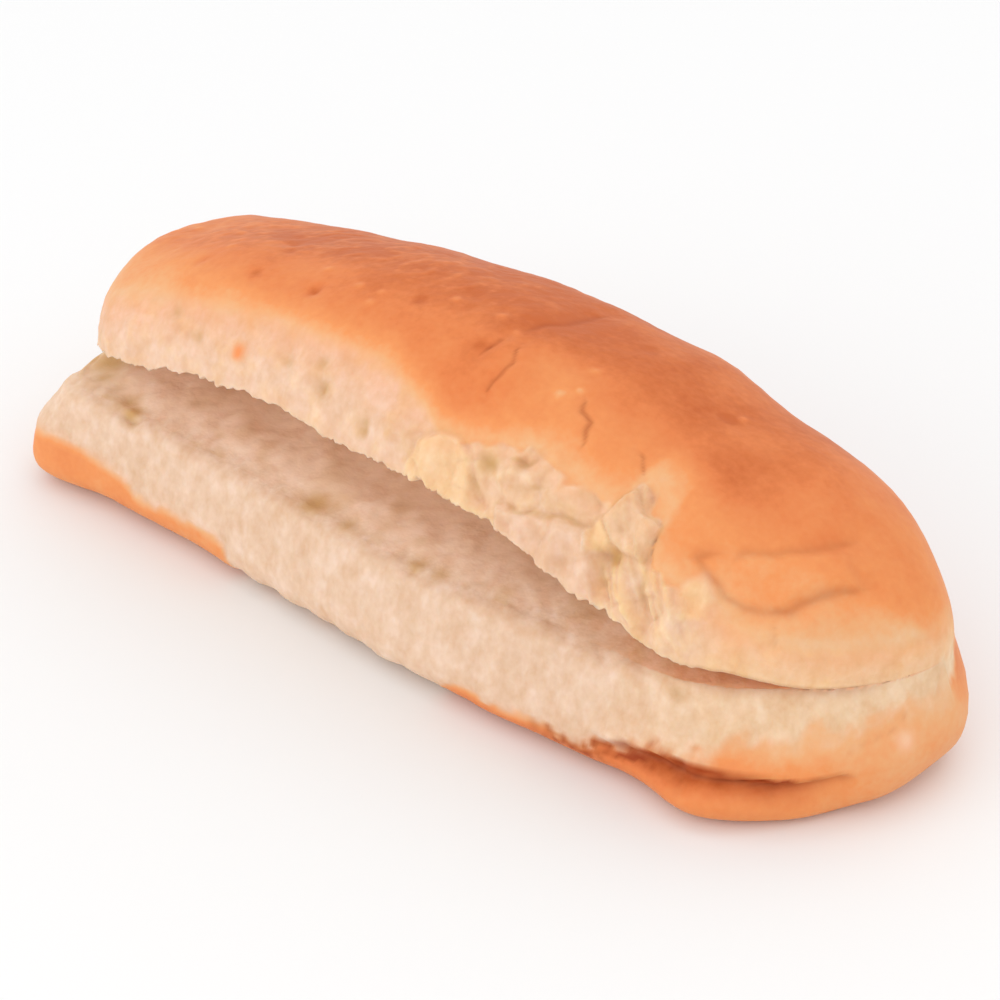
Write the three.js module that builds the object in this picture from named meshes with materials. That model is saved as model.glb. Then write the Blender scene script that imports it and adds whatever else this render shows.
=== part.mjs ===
// Finger roll, slit along one side and empty, lying on its flat base with the mouth ajar.
// Millimetres, Z up, X towards the end where the slit stops short, minus Y towards the mouth.
// The roll is one closed skin. A loop runs from the upper lip over the top, down the back, under
// the base, up to the lower lip, and then into the slit and out again. Loops are set side by side
// along the length and draw together into a point at each end.

import * as THREE from "three";
import { mergeVertices } from "three/addons/utils/BufferGeometryUtils.js";

// Sizes of the whole roll
const CORE_LENGTH = 143;      // length at the height of the slit
const FRONT_REACH = 27.4;     // middle line to the lips
const BACK_REACH = 23.9;      // middle line to the back
const HEIGHT = 38.5;          // closed height at the middle
const SLIT_HEIGHT = 18.8;     // height of the slit above the table
const BASE_SINK = 0.6;        // how far the round underside would reach below the table
const UPPER_ROUND = 2.24;     // squareness of the upper section, 2 is an ellipse
const LOWER_ROUND = 4.49;     // squareness of the lower section

// The slit and its opening
const HINGE_INSET = 8.5;      // hinge line in from the back
const ROOT_Y = 10.5;          // where the slit stops behind the middle line
const HALF_KERF = 0.45;       // half the width of the cut itself
const LIP_SETBACK = 2.75;     // lower lip behind the upper one
const SETBACK_FADE = [60, 71.5];  // stations over which the lips draw level
const LIP_ROUND = { back: 1.5, side: 4.5, drop: 1.8, face: 8 };   // soft edge of the lower lip
const MOUTH_CLOSING = [34, 66];   // the slit runs out between these two stations
const OPEN_DEGREES = [[-71.5, 7], [-51.7, 11.8], [-23.5, 18.5], [4.7, 18.8],
  [32.9, 10.2], [54.5, 3.3], [66, 0], [71.5, 0]];
const LIP_SAG = [[-71.5, 0.3], [-60, 0.1], [-45, 0], [-30, 0.5], [-18, 0], [-8, 0.8], [2, 0.7],
  [12, 0.4], [22, -0.7], [32, -0.4], [38, -0.7], [44, 0], [50, 0.3], [56, -0.9], [63, -0.5],
  [71.5, 0]];

// Ends: length and squareness of the left cap, then of the right cap
const LOWER_PLAN = { left: 9.1, leftPower: 3.54, right: 29.4, rightPower: 2.07 };
const UPPER_PLAN = { left: 23.8, leftPower: 2.44, right: 30.2, rightPower: 1.64 };
const LOWER_RISE = { left: 7.7, leftPower: 2.99, right: 17.9, rightPower: 3.84 };
const UPPER_RISE = { left: 15.8, leftPower: 2.34, right: 35.5, rightPower: 2.17 };
const POLE_Y = { left: 12.8, right: 4.4 };                  // where each end closes
const LOWER_OVERHANG = { left: 4.9, right: 3.3 };           // lower half past the slit
const UPPER_OVERHANG = { left: 2.1, right: 0.3 };           // upper half past the slit
const OVERHANG_FROM = [28, 68];                             // stations where it sets in

// Changes along the length: station, size
const TOP_SHIFT = [[-71.5, -4.8], [-60, -5.4], [-52, -3.6], [-42, -1.7], [-33, -0.7],
  [-14.1, 2], [5, 2.7], [23.5, 2.4], [40, -0.3], [56.4, -1], [71.5, -0.9]];
const FRONT_SHIFT = [[-71.5, -0.5], [-42.3, -0.9], [0, 0.4], [42.3, -2.8], [71.5, -2]];
const FOOT = [[-71.5, 6.5], [-47, 3.8], [-14.1, 3.6], [16.9, 4.8], [33.8, 5.2], [47, 2.8],
  [58.3, 1.8], [64, 1.9], [71.5, 1.5]];
const BULGES = [
  { name: "bottom crust squeezed out", station: 52.7, halfLength: 8.1, reach: 4, height: 9 },
  { name: "waist beside it", station: 65.2, halfLength: 2.8, reach: -2.1, height: 10 },
];

// Where the crust ends and the torn crumb begins: station, distance above or below the slit
const CRUST_ABOVE = [[-71.5, 7], [-60, 7.3], [-50, 9], [-30, 9.6], [-8, 11.3], [3.4, 8.9],
  [7.9, 6.8], [12, 7.9], [22, 11.6], [29, 12.2], [34.5, 12], [36.5, 15.4], [41.2, 14],
  [42.8, 10], [47, 8.6], [51, 8.2], [56, 6], [64, 5.4], [68.4, 4.8], [71.5, 4.4]];
const CRUST_BELOW = [[-71.5, 10], [-61, 9.3], [-52, 10.4], [-48.4, 11.3], [-46.7, 13],
  [-42, 12.2], [-31, 12.5], [-28, 18.5], [11, 18.5], [13.5, 15], [20, 14.4], [36, 14.2],
  [38, 13.4], [45, 11.1], [49, 10.3], [52.3, 8.5], [55, 7.1], [60, 6.8], [64, 5], [66.6, 5.6],
  [69.3, 4.3], [71.5, 3.9]];
const CRUMB_ENDS = [9, 13];       // how far back the crumb shows round the two ends

// Relief of the surface
const CRUST_SWELL = { height: 0.35, pitch: 34 };
const CRUMB_SWELL = { height: 0.5, pitch: 12 };
const FIBRE = { height: 0.35, pitch: 6.5 };
const CUT_SWELL = { height: 0.45, pitch: 17 };
const PEELED = [0, 8, 46, 52];    // stations between which the upper crust is torn away
const CREASES = [
  { name: "valley over the top", deep: 0.45, wide: 4,
    path: [[9.7, 82], [9.7, 103], [8.2, 120]] },
  { name: "first split", deep: 0.6, wide: 2, path: [[6.4, 135], [7, 129.9], [7.3, 123.5]] },
  { name: "second split", deep: 0.5, wide: 2,
    path: [[10, 123], [10.3, 127.2], [11.5, 131.3], [11.2, 139.8], [12.1, 146]] },
  { name: "third split", deep: 0.5, wide: 2,
    path: [[22.2, 124], [24, 128.6], [25.5, 129.3], [27, 138.5]] },
  { name: "fourth split", deep: 0.5, wide: 2, path: [[32.3, 124], [34.1, 125.2], [35.9, 131.3]] },
  { name: "split above the flap", deep: 0.5, wide: 2,
    path: [[38, 129.3], [38.6, 132.7], [39.2, 137.4]] },
  { name: "lower line of the pressed pillow", deep: 0.8, wide: 2.6,
    path: [[49.3, 132], [47.3, 138.5], [50.8, 142.5], [52.3, 146.3], [55, 146.6], [57.7, 142.9],
      [59.5, 139.1], [60.1, 132.7], [61.6, 124.2], [64.2, 111.2]] },
  { name: "upper line of the pressed pillow", deep: 0.7, wide: 2.8,
    path: [[51.1, 134.7], [51.7, 127.2], [54.1, 122.5], [56.5, 113.9], [58.6, 101.7],
      [59.5, 92.5]] },
  { name: "tear beside the left lobe", deep: 0.7, wide: 2,
    path: [[14.2, 165], [15.9, 171.5], [17.1, 176]] },
  { name: "tear above the middle lobe", deep: 0.7, wide: 2,
    path: [[19.5, 169.8], [23.4, 167.2], [28.8, 158.5], [33.2, 155.5]] },
  { name: "tear under the flap", deep: 1.1, wide: 2.2,
    path: [[33.5, 155.5], [35.9, 159.5], [36.5, 167.1], [38.6, 175]] },
  { name: "strand curling up", deep: -0.5, wide: 2,
    path: [[18.3, 161.5], [20.1, 157.5], [22.8, 155.5], [24.9, 149.4], [24.6, 145.6]] },
  { name: "tear beside the tufts", deep: 0.5, wide: 1.8,
    path: [[42.2, 150.5], [42.8, 160.3], [45.2, 168.1]] },
  { name: "first tuft", deep: -0.6, wide: 1.8, path: [[39.2, 159.2], [43.1, 175]] },
  { name: "second tuft", deep: -0.6, wide: 1.8, path: [[43.4, 161], [47.3, 178]] },
  { name: "third tuft", deep: -0.4, wide: 1.8, path: [[46.3, 156], [49.6, 175.6]] },
  { name: "bottom crust tucked in", deep: 1.9, wide: 3.4,
    path: [[41, -145.5], [43.7, -147], [47, -148], [54.1, -149.5], [57.1, -149], [60.7, -147],
      [65.7, -146.5]] },
  { name: "rim over the tuck", deep: -0.4, wide: 3.4,
    path: [[43.7, -152], [47, -153.5], [54.1, -155], [57.1, -154.5], [60.7, -152.5],
      [65.7, -151.5]] },
  { name: "fold across the bulge", deep: 0.9, wide: 2,
    path: [[49.9, -151.8], [50.2, -147.1], [50.8, -142]] },
];
const FLAPS = [
  { name: "lifted flap", rise: 1.2, edge: 0.8,
    outline: [[34.4, 149.4], [35.2, 142], [36.2, 135.1], [38.2, 139], [41.3, 138.5],
      [41.9, 145.9], [41.3, 151.4], [38.6, 153.5], [36.5, 152.5]] },
  { name: "rolled edge of the flap", rise: 0.8, edge: 0.8,
    outline: [[34.2, 150], [36.4, 153], [36.2, 158], [33.9, 162], [32.6, 156]] },
  { name: "left lobe", rise: 0.8, edge: 0.8,
    outline: [[4.6, 180], [5.6, 167], [8.4, 161.5], [11.5, 160], [14, 163.5], [14.8, 168],
      [16.4, 180]] },
  { name: "middle lobe", rise: 1, edge: 0.8,
    outline: [[19.8, 172], [23.4, 167.6], [28.8, 158.8], [33, 156], [35, 161], [35.8, 168],
      [37.6, 180], [20.5, 180]] },
  { name: "strip right of the flap", rise: 0.45, edge: 0.8,
    outline: [[47.6, 151], [49.4, 142.5], [51.4, 148], [51, 158], [48.6, 162]] },
  { name: "pressed pillow", rise: 0.7, edge: 1.3,
    outline: [[48, 141], [50.7, 147], [54.4, 148.8], [57.5, 145], [58.8, 138], [60, 129],
      [63.4, 113.9], [60, 105], [56.8, 115], [54.1, 123.5], [51.8, 129]] },
];
const PITS = [
  { name: "hole under the flap", at: [37.7, 157.2], deep: 1.9, wide: 2.8 },
  { name: "middle pocket", at: [16.5, 160.9], deep: 1.2, wide: 2.5 },
  { name: "pocket beside it", at: [21, 153.8], deep: 0.8, wide: 2 },
  { name: "left pocket", at: [-13, 165], deep: 0.8, wide: 2.4 },
  { name: "torn hollow at the left end", at: [-54, -179], deep: 0.8, wide: 3.4 },
  { name: "hollow next to it", at: [-52.5, -174], deep: 0.6, wide: 2.8 },
  { name: "hollow in the lower lip", at: [-16.5, -179], deep: 0.6, wide: 3.4 },
];
const SHEET = 22;                 // millimetres round the skin for a radian of the section

// Fineness of the skin
const STATION_STEPS = 78;
const TORN_STATIONS = [-2, 6, 50, 60];   // stations lie closer together between these
const SWEEP = [[180, 28], [75, 7], [0, 9], [-90, 5], [-130, 15], [-180, 0]];   // from, steps
const FACE_STEPS = 5;

const HALF = CORE_LENGTH / 2;
const RADIAN = Math.PI / 180;

/** Eased step from 0 at `from` to 1 at `to`. */
function smooth(from, to, value) {
  const t = THREE.MathUtils.clamp((value - from) / (to - from), 0, 1);
  return t * t * (3 - 2 * t);
}

/** Smooth curve through [station, size] pairs that never overshoots them. */
function along(knots, x) {
  const last = knots.length - 1;
  const at = THREE.MathUtils.clamp(x, knots[0][0], knots[last][0]);
  let i = 0;
  while (i < last - 1 && at >= knots[i + 1][0]) {
    i += 1;
  }
  const rate = (k) => (knots[k + 1][1] - knots[k][1]) / (knots[k + 1][0] - knots[k][0]);
  const slope = (k) => {
    if (k === 0 || k === last || rate(k - 1) * rate(k) <= 0) {
      return 0;
    }
    return (2 * rate(k - 1) * rate(k)) / (rate(k - 1) + rate(k));
  };
  const h = knots[i + 1][0] - knots[i][0];
  const t = (at - knots[i][0]) / h;
  const rise = t * t * (3 - 2 * t);
  const lead = t * (1 - t) * (1 - t) * h * slope(i);
  const trail = t * t * (1 - t) * h * slope(i + 1);
  return knots[i][1] * (1 - rise) + knots[i + 1][1] * rise + lead - trail;
}

/** Share of the full size left at station x between the two end caps. */
function cap(x, ends) {
  const size = x < 0 ? ends.left : ends.right;
  const power = x < 0 ? ends.leftPower : ends.rightPower;
  const t = THREE.MathUtils.clamp((Math.abs(x) - (HALF - size)) / size, 0, 1);
  return Math.pow(Math.max(1 - Math.pow(t, power), 0), 1 / power);
}

/** 1 where the slit is at full depth, 0 where the roll is uncut. */
function mouth(x) {
  return Math.max(0, 1 - 1.04 * smooth(MOUTH_CLOSING[0], MOUTH_CLOSING[1], x));
}

/** Uneven swell between about -1 and 1 with the given pitch. */
function ripple(p, pitch) {
  const k = (2 * Math.PI) / pitch;
  const a = Math.sin(k * (0.9 * p.x + 0.3 * p.y + 0.2 * p.z) + 1.3);
  const b = Math.sin(k * (-0.35 * p.x + 0.85 * p.y + 0.4 * p.z) + 4.1);
  const c = Math.sin(k * (0.25 * p.x - 0.45 * p.y + 0.95 * p.z) + 2.2);
  const d = Math.sin(1.7 * k * (0.6 * p.x + 0.6 * p.y - 0.6 * p.z) + 0.7);
  return (a * b + b * c + c * d + d * a) / 2;
}

/** Y that the sections draw together towards. */
function poleY(x) {
  return THREE.MathUtils.lerp(POLE_Y.left, POLE_Y.right, smooth(-38, 38, x));
}

/** Rounding of an edge: 1 at the edge, 0 a full way off. */
function bend(way) {
  return Math.pow(1 - THREE.MathUtils.clamp(way, 0, 1), 2);
}

/** Fades 1 to 0 close to the point of each end. */
function offPoint(x) {
  return smooth(0, 0.3, cap(x, UPPER_PLAN));
}

/** How far the bottom crust swells forward at station x and height z. */
function bulge(x, z) {
  let swell = 0;
  for (const one of BULGES) {
    const near = Math.exp(-Math.pow((x - one.station) / one.halfLength, 2));
    swell += one.reach * near * smooth(one.height + 4, one.height - 6, z);
  }
  return swell;
}

/** Point on the closed roll: 180 is the upper lip, 90 the top, 0 the back, -180 the lower lip. */
function closedPoint(x, degrees) {
  const c = Math.cos(degrees * RADIAN);
  const s = Math.abs(Math.sin(degrees * RADIAN));
  const upper = degrees >= 0;
  const n = upper ? UPPER_ROUND : LOWER_ROUND;
  const r = Math.pow(Math.pow(Math.abs(c), n) + Math.pow(s, n), -1 / n);
  const open = mouth(x);
  const behind = 0.75 * smooth(-120, -30, degrees) + 0.25 * smooth(-30, 40, degrees);
  const uncut = Math.max(behind, smooth(-140, -180, degrees), degrees > 90 ? 1 : 0);
  const share = THREE.MathUtils.lerp(uncut, degrees > 90 ? 1 : behind, open);
  const plan = THREE.MathUtils.lerp(cap(x, LOWER_PLAN), cap(x, UPPER_PLAN), share);
  let front = FRONT_REACH + along(FRONT_SHIFT, x);
  if (!upper) {
    const setback = LIP_SETBACK * (1 - smooth(SETBACK_FADE[0], SETBACK_FADE[1], x));
    const low = Math.pow(Math.min(1.12 * r * s, 1), 1.5);
    front += (along(FOOT, x) + setback) * low - setback;
  }
  const pole = poleY(x);
  let y = pole + ((c < 0 ? front : BACK_REACH) * r * c - pole) * plan;
  const top = HEIGHT + along(TOP_SHIFT, x) - SLIT_HEIGHT;
  const z = upper
    ? SLIT_HEIGHT + top * cap(x, UPPER_RISE) * r * s
    : Math.max(0, SLIT_HEIGHT - (SLIT_HEIGHT + BASE_SINK) * cap(x, LOWER_RISE) * r * s);
  if (!upper && c < 0) {
    y += LIP_ROUND.back * bend((SLIT_HEIGHT - z) / LIP_ROUND.side) * open * plan;
    y -= bulge(x, z) * Math.min(-1.6 * r * c, 1);
  }
  const down = smooth(0, 0.6 * SLIT_HEIGHT, SLIT_HEIGHT - z);
  const up = smooth(0, 0.6 * (HEIGHT - SLIT_HEIGHT), z - SLIT_HEIGHT);
  const end = x < 0 ? "left" : "right";
  const past = (LOWER_OVERHANG[end] * down + UPPER_OVERHANG[end] * up)
    * smooth(OVERHANG_FROM[0], OVERHANG_FROM[1], Math.abs(x));
  return new THREE.Vector3(x + Math.sign(x) * past, y, z);
}

/** Turn a point of the station about the hinge line by a share of the opening angle. */
function openUp(x, point, share) {
  const hinge = BACK_REACH - HINGE_INSET;
  const angle = along(OPEN_DEGREES, x) * RADIAN * share * smooth(0, 0.25, cap(x, UPPER_PLAN));
  const dy = point.y - hinge;
  const dz = point.z - SLIT_HEIGHT;
  const y = hinge + dy * Math.cos(angle) + dz * Math.sin(angle);
  const z = SLIT_HEIGHT - dy * Math.sin(angle) + dz * Math.cos(angle);
  return new THREE.Vector3(point.x, y, Math.max(z, 0));
}

/** Half width of the cut at station x, signed for the half above or below it. */
function kerf(x, upper) {
  return (upper ? 1 : -1) * HALF_KERF * mouth(x) * smooth(0, 0.2, cap(x, UPPER_PLAN));
}

/** Point on the outside of the opened roll, before any relief. */
function skinPoint(x, degrees) {
  const upper = degrees >= 0;
  const point = closedPoint(x, degrees);
  const hinge = BACK_REACH - HINGE_INSET;
  const rise = point.z - SLIT_HEIGHT;
  const bearing = Math.atan2(rise, point.y - hinge) / RADIAN;
  const share = point.y < hinge ? (upper ? 1 : 0) : smooth(-50, 60, bearing);
  if (Math.abs(degrees) > 90) {
    point.z += kerf(x, upper) * smooth(4, 0, Math.abs(rise));
    const sag = along(LIP_SAG, x) * smooth(9, 0, rise);
    const lowered = LIP_ROUND.drop * bend(-rise / LIP_ROUND.side) * mouth(x);
    point.z -= (upper ? sag : lowered) * offPoint(x);
  }
  return openUp(x, point, share);
}

/** Point on a face of the slit: depth 0 at the lip, 1 at the root. */
function facePoint(x, depth, upper) {
  const lip = closedPoint(x, upper ? 180 : -180);
  const pole = poleY(x);
  const root = pole + (ROOT_Y - pole) * cap(x, UPPER_PLAN);
  const inward = (root - lip.y) * mouth(x) * depth;
  lip.y += inward;
  const inside = smooth(0, 0.3, depth) * smooth(1, 0.7, depth) * mouth(x) * cap(x, UPPER_PLAN);
  const swell = CUT_SWELL.height * inside * (1 + ripple(lip, CUT_SWELL.pitch)) / 2;
  const sag = along(LIP_SAG, x) * (1 - mouth(x) * smooth(0, 0.4, depth));
  const lowered = LIP_ROUND.drop * bend(inward / LIP_ROUND.face) * mouth(x);
  lip.z = SLIT_HEIGHT + kerf(x, upper) + (upper ? swell : -swell);
  lip.z -= (upper ? sag : lowered) * offPoint(x);
  return openUp(x, lip, upper ? 1 : 0);
}

/** Shortest way from a point to a path of points. */
function distanceToPath(point, path) {
  const closest = new THREE.Vector3();
  let least = Infinity;
  for (let i = 0; i + 1 < path.length; i += 1) {
    new THREE.Line3(path[i], path[i + 1]).closestPointToPoint(point, true, closest);
    least = Math.min(least, point.distanceTo(closest));
  }
  return least;
}

/** How far a place on the flat sheet lies inside a closed outline, below zero outside it. */
function insideBy(place, outline) {
  let inside = false;
  const closed = [...outline, outline[0]];
  for (let i = 0; i + 1 < closed.length; i += 1) {
    const [a, b] = [closed[i], closed[i + 1]];
    const crosses = a.y > place.y !== b.y > place.y;
    if (crosses && place.x < a.x + ((place.y - a.y) / (b.y - a.y)) * (b.x - a.x)) {
      inside = !inside;
    }
  }
  const away = distanceToPath(place, closed);
  return inside ? away : -away;
}

/** Place on the flat sheet that the skin would unroll to. */
function sheetPlace(x, degrees) {
  return new THREE.Vector3(x, degrees * RADIAN * SHEET, 0);
}

const flapOutlines = FLAPS.map((flap) => ({
  ...flap,
  corners: flap.outline.map(([x, degrees]) => sheetPlace(x, degrees)),
}));
const creasePaths = CREASES.map((crease) => ({
  ...crease,
  points: crease.path.map(([x, degrees]) => skinPoint(x, degrees)),
}));
const pitCentres = PITS.map((pit) => ({ ...pit, centre: skinPoint(pit.at[0], pit.at[1]) }));

/** How much of the torn crumb shows at a place on the outside, 0 to 1. */
function tornShare(x, degrees) {
  const flat = closedPoint(x, degrees);
  const rise = flat.z - SLIT_HEIGHT;
  const reach = degrees >= 0 ? rise - along(CRUST_ABOVE, x) : -rise - along(CRUST_BELOW, x);
  return smooth(1, -1, reach) * smooth(CRUMB_ENDS[1], CRUMB_ENDS[0], flat.y);
}

/** Height of the relief over the outside at a place, millimetres outwards. */
function relief(x, degrees, point) {
  const torn = tornShare(x, degrees);
  const peeled = smooth(PEELED[0], PEELED[1], x) * smooth(PEELED[3], PEELED[2], x);
  const fibre = Math.sin((2 * Math.PI * x) / FIBRE.pitch + 1.5 * ripple(point, 23));
  const rough = degrees >= 0 ? 0.3 + 0.7 * peeled : 0.3;
  let height = (1 - torn) * CRUST_SWELL.height * ripple(point, CRUST_SWELL.pitch);
  height += torn * rough * CRUMB_SWELL.height * ripple(point, CRUMB_SWELL.pitch);
  height += torn * rough * FIBRE.height * fibre;
  for (const crease of creasePaths) {
    const reach = distanceToPath(point, crease.points) / (0.6 * crease.wide);
    height -= crease.deep * Math.exp(-reach * reach);
  }
  for (const flap of flapOutlines) {
    const inside = insideBy(sheetPlace(x, degrees), flap.corners);
    const rim = 0.45 + 0.55 * Math.exp(-Math.pow(inside / 2.6, 2));
    height += flap.rise * smooth(-flap.edge, flap.edge, inside) * rim;
  }
  for (const pit of pitCentres) {
    const reach = point.distanceTo(pit.centre) / (0.6 * pit.wide);
    height -= pit.deep * Math.exp(-reach * reach);
  }
  const offLip = THREE.MathUtils.lerp(smooth(0, 12, 180 - Math.abs(degrees)), 1, mouth(x));
  const offEnds = smooth(0.1, 0.5, Math.min(cap(x, LOWER_PLAN), cap(x, UPPER_PLAN)));
  return height * offLip * offEnds * smooth(0.2, 2.5, point.z);
}

/** Outside of the roll with its relief laid along the surface normal. */
function outsidePoint(x, degrees) {
  const point = skinPoint(x, degrees);
  const stepX = x < 0 ? 0.2 : -0.2;
  const stepA = Math.abs(degrees) > 179 ? -Math.sign(degrees) : 1;
  const towardsX = skinPoint(x + stepX, degrees).sub(point).multiplyScalar(Math.sign(stepX));
  const towardsA = skinPoint(x, degrees + stepA).sub(point).multiplyScalar(Math.sign(stepA));
  const normal = towardsA.cross(towardsX).normalize();
  return point.addScaledVector(normal, relief(x, degrees, point));
}

/** Root of the slit, rounded between the two faces. */
function rootPoint(x) {
  const low = facePoint(x, 1, false);
  const high = facePoint(x, 1, true);
  const gap = high.distanceTo(low);
  low.lerp(high, 0.5);
  low.y += 0.35 * gap;
  return low;
}

/** Places round one loop, in order, each a function of the station. */
function loopPlaces() {
  const places = [];
  for (let i = 0; i + 1 < SWEEP.length; i += 1) {
    for (let k = 0; k < SWEEP[i][1]; k += 1) {
      const degrees = THREE.MathUtils.lerp(SWEEP[i][0], SWEEP[i + 1][0], k / SWEEP[i][1]);
      places.push((x) => outsidePoint(x, degrees));
    }
  }
  for (let k = 0; k <= FACE_STEPS; k += 1) {
    places.push(k === 0 ? (x) => outsidePoint(x, -180) : (x) => facePoint(x, k / FACE_STEPS, false));
  }
  places.push(rootPoint);
  for (let k = FACE_STEPS; k > 0; k -= 1) {
    places.push((x) => facePoint(x, k / FACE_STEPS, true));
  }
  return places;
}

/** Stations of the loops, closer together at the ends and along the torn half. */
function stationList() {
  const [from, full, until, end] = TORN_STATIONS;
  const weight = (x) => 1 + 0.9 * smooth(from, full, x) * smooth(end, until, x)
    + 2.5 * smooth(HALF - 14, HALF - 3, Math.abs(x)) + 12 * smooth(HALF - 2.5, HALF, Math.abs(x));
  const slices = 3000;
  const step = CORE_LENGTH / slices;
  const totals = [0];
  for (let i = 0; i < slices; i += 1) {
    totals.push(totals[i] + weight(-HALF + (i + 0.5) * step) * step);
  }
  const list = [];
  let i = 0;
  for (let row = 0; row <= STATION_STEPS; row += 1) {
    const wanted = (totals[slices] * row) / STATION_STEPS;
    while (i < slices - 1 && totals[i + 1] < wanted) {
      i += 1;
    }
    const share = (wanted - totals[i]) / (totals[i + 1] - totals[i]);
    list.push(-HALF + (i + Math.min(share, 1)) * step);
  }
  return list;
}

/** Closed skin of the roll, standing on the table with the middle of its box at the origin. */
function rollGeometry() {
  const places = loopPlaces();
  const stations = stationList();
  const skin = new THREE.PlaneGeometry(1, 1, places.length, STATION_STEPS);
  const position = skin.attributes.position;
  for (let row = 0; row <= STATION_STEPS; row += 1) {
    for (let column = 0; column <= places.length; column += 1) {
      const point = places[column % places.length](stations[row]);
      position.setXYZ(row * (places.length + 1) + column, point.x, point.y, point.z);
    }
  }
  skin.deleteAttribute("uv");
  skin.deleteAttribute("normal");
  const closed = mergeVertices(skin, 1e-3);
  const kept = [];
  for (let i = 0; i < closed.index.count; i += 3) {
    const [a, b, c] = [0, 1, 2].map((k) => closed.index.getX(i + k));
    if (a !== b && b !== c && c !== a) {
      kept.push(a, b, c);
    }
  }
  closed.setIndex(kept);
  closed.computeBoundingBox();
  const middle = closed.boundingBox.getCenter(new THREE.Vector3());
  closed.translate(-middle.x, -middle.y, -closed.boundingBox.min.z);
  closed.computeVertexNormals();
  return closed;
}

const group = new THREE.Group();
group.name = "finger_roll";
const crust = new THREE.MeshStandardMaterial({ color: 0xd98f57, roughness: 0.6, metalness: 0 });
const roll = new THREE.Mesh(rollGeometry(), crust);
roll.name = "bread_roll";
group.add(roll);

export default group;
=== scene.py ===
"""Side-slit finger roll: fine skin, baked crust and torn crumb, plain studio. Metres, Z up."""

import logging
import math
from dataclasses import dataclass, field
from enum import Enum

import bmesh
import bpy
import numpy as np
from mathutils import Matrix, Vector, noise


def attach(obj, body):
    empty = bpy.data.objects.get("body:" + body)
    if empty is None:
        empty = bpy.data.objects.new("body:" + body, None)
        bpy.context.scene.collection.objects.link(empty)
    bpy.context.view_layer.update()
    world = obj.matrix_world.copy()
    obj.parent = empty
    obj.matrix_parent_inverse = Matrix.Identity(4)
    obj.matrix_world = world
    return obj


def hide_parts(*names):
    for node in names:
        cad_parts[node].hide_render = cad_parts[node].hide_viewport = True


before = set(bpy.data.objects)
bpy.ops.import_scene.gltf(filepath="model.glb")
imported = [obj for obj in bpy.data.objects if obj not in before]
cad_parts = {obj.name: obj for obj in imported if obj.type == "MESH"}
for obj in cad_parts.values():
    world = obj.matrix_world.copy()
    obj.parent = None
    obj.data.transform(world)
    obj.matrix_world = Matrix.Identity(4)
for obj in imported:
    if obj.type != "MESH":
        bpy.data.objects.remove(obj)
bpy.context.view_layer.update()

LOG = logging.getLogger("finger_roll")
MM = 0.001
WELD = 2e-6
# Millimetres round the section for each radian, over the whole of it and near the lips.
SECTION_RADIUS = 22.0
LIP_RADIUS = 25.0
# A stretch starts, is full, starts to fade and ends at these stations, or at these degrees.
PEELED = (0, 8, 46, 52)
UNTOASTED = (0, 8, 48, 54)
TUFTED = (34, 39, 47, 54)
RAGGED_BORDER = (4, 10, 44, 50)
SHREDDED = (26, 34, 46, 54)
CLOSED_SEAM = (46, 54, 66, 70)
FLAKY_DEGREES = (62, 82, 104, 124)
PAINTED = ("crumb", "fold_shade_and_specks", "hollow_shade_and_blotch", "bake_and_face_shade", "yellow", "painted_light_and_pale_spot")
Array = np.ndarray
Knots = tuple[tuple[float, float], ...]
Span = tuple[float, float, float, float]
Colour = tuple[int, int, int]
Stops = tuple[tuple[float, Colour], ...]
Rgba = tuple[float, float, float, float]
Paint = dict[str, Array]
Socket = bpy.types.NodeSocket


def smooth(start: float, stop: float, value: Array) -> Array:
    """Eased step from 0 at start to 1 at stop."""
    t = np.clip((np.asarray(value, float) - start) / (stop - start), 0.0, 1.0)
    return t * t * (3.0 - 2.0 * t)


def stretch(span: Span, value: Array) -> Array:
    """1 along the middle of a stretch, eased to 0 before and after it."""
    return smooth(span[0], span[1], value) * smooth(span[3], span[2], value)


def hump(away: Array, wide: Array | float) -> Array:
    """Rounded hump: 1 at no distance, fading to nothing past the given width."""
    return np.exp(-((away / wide) ** 2))


def along(knots: Knots, x: Array) -> Array:
    """Smooth curve through (station, size) pairs that never overshoots them.

    Args:
        knots: pairs of station and size, in order.
        x: stations to read, in millimetres.

    Returns:
        The size at each station.
    """
    kx, ky = np.array(knots, float).T
    rate = np.diff(ky) / np.diff(kx)
    slope = np.zeros(len(ky))
    for i in range(1, len(ky) - 1):
        if rate[i - 1] * rate[i] > 0:
            slope[i] = 2 * rate[i - 1] * rate[i] / (rate[i - 1] + rate[i])
    at = np.clip(x, kx[0], kx[-1])
    i = np.clip(np.searchsorted(kx, at, side="right") - 1, 0, len(rate) - 1)
    h = kx[i + 1] - kx[i]
    t = (at - kx[i]) / h
    rise = t * t * (3 - 2 * t)
    lead = t * (1 - t) ** 2 * h * slope[i]
    trail = t * t * (1 - t) * h * slope[i + 1]
    return ky[i] * (1 - rise) + ky[i + 1] * rise + lead - trail


def ripple(points: Array, pitch: float) -> Array:
    """Uneven swell between about -1 and 1.

    Args:
        points: places, in millimetres, one row each.
        pitch: length of one swell, in millimetres.

    Returns:
        One value for each row.
    """
    k = 2 * math.pi / pitch
    x, y, z = points[..., 0], points[..., 1], points[..., 2]
    a = np.sin(k * (0.9 * x + 0.3 * y + 0.2 * z) + 1.3)
    b = np.sin(k * (-0.35 * x + 0.85 * y + 0.4 * z) + 4.1)
    c = np.sin(k * (0.25 * x - 0.45 * y + 0.95 * z) + 2.2)
    d = np.sin(1.7 * k * (0.6 * x + 0.6 * y - 0.6 * z) + 0.7)
    return (a * b + b * c + c * d + d * a) / 2


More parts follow.
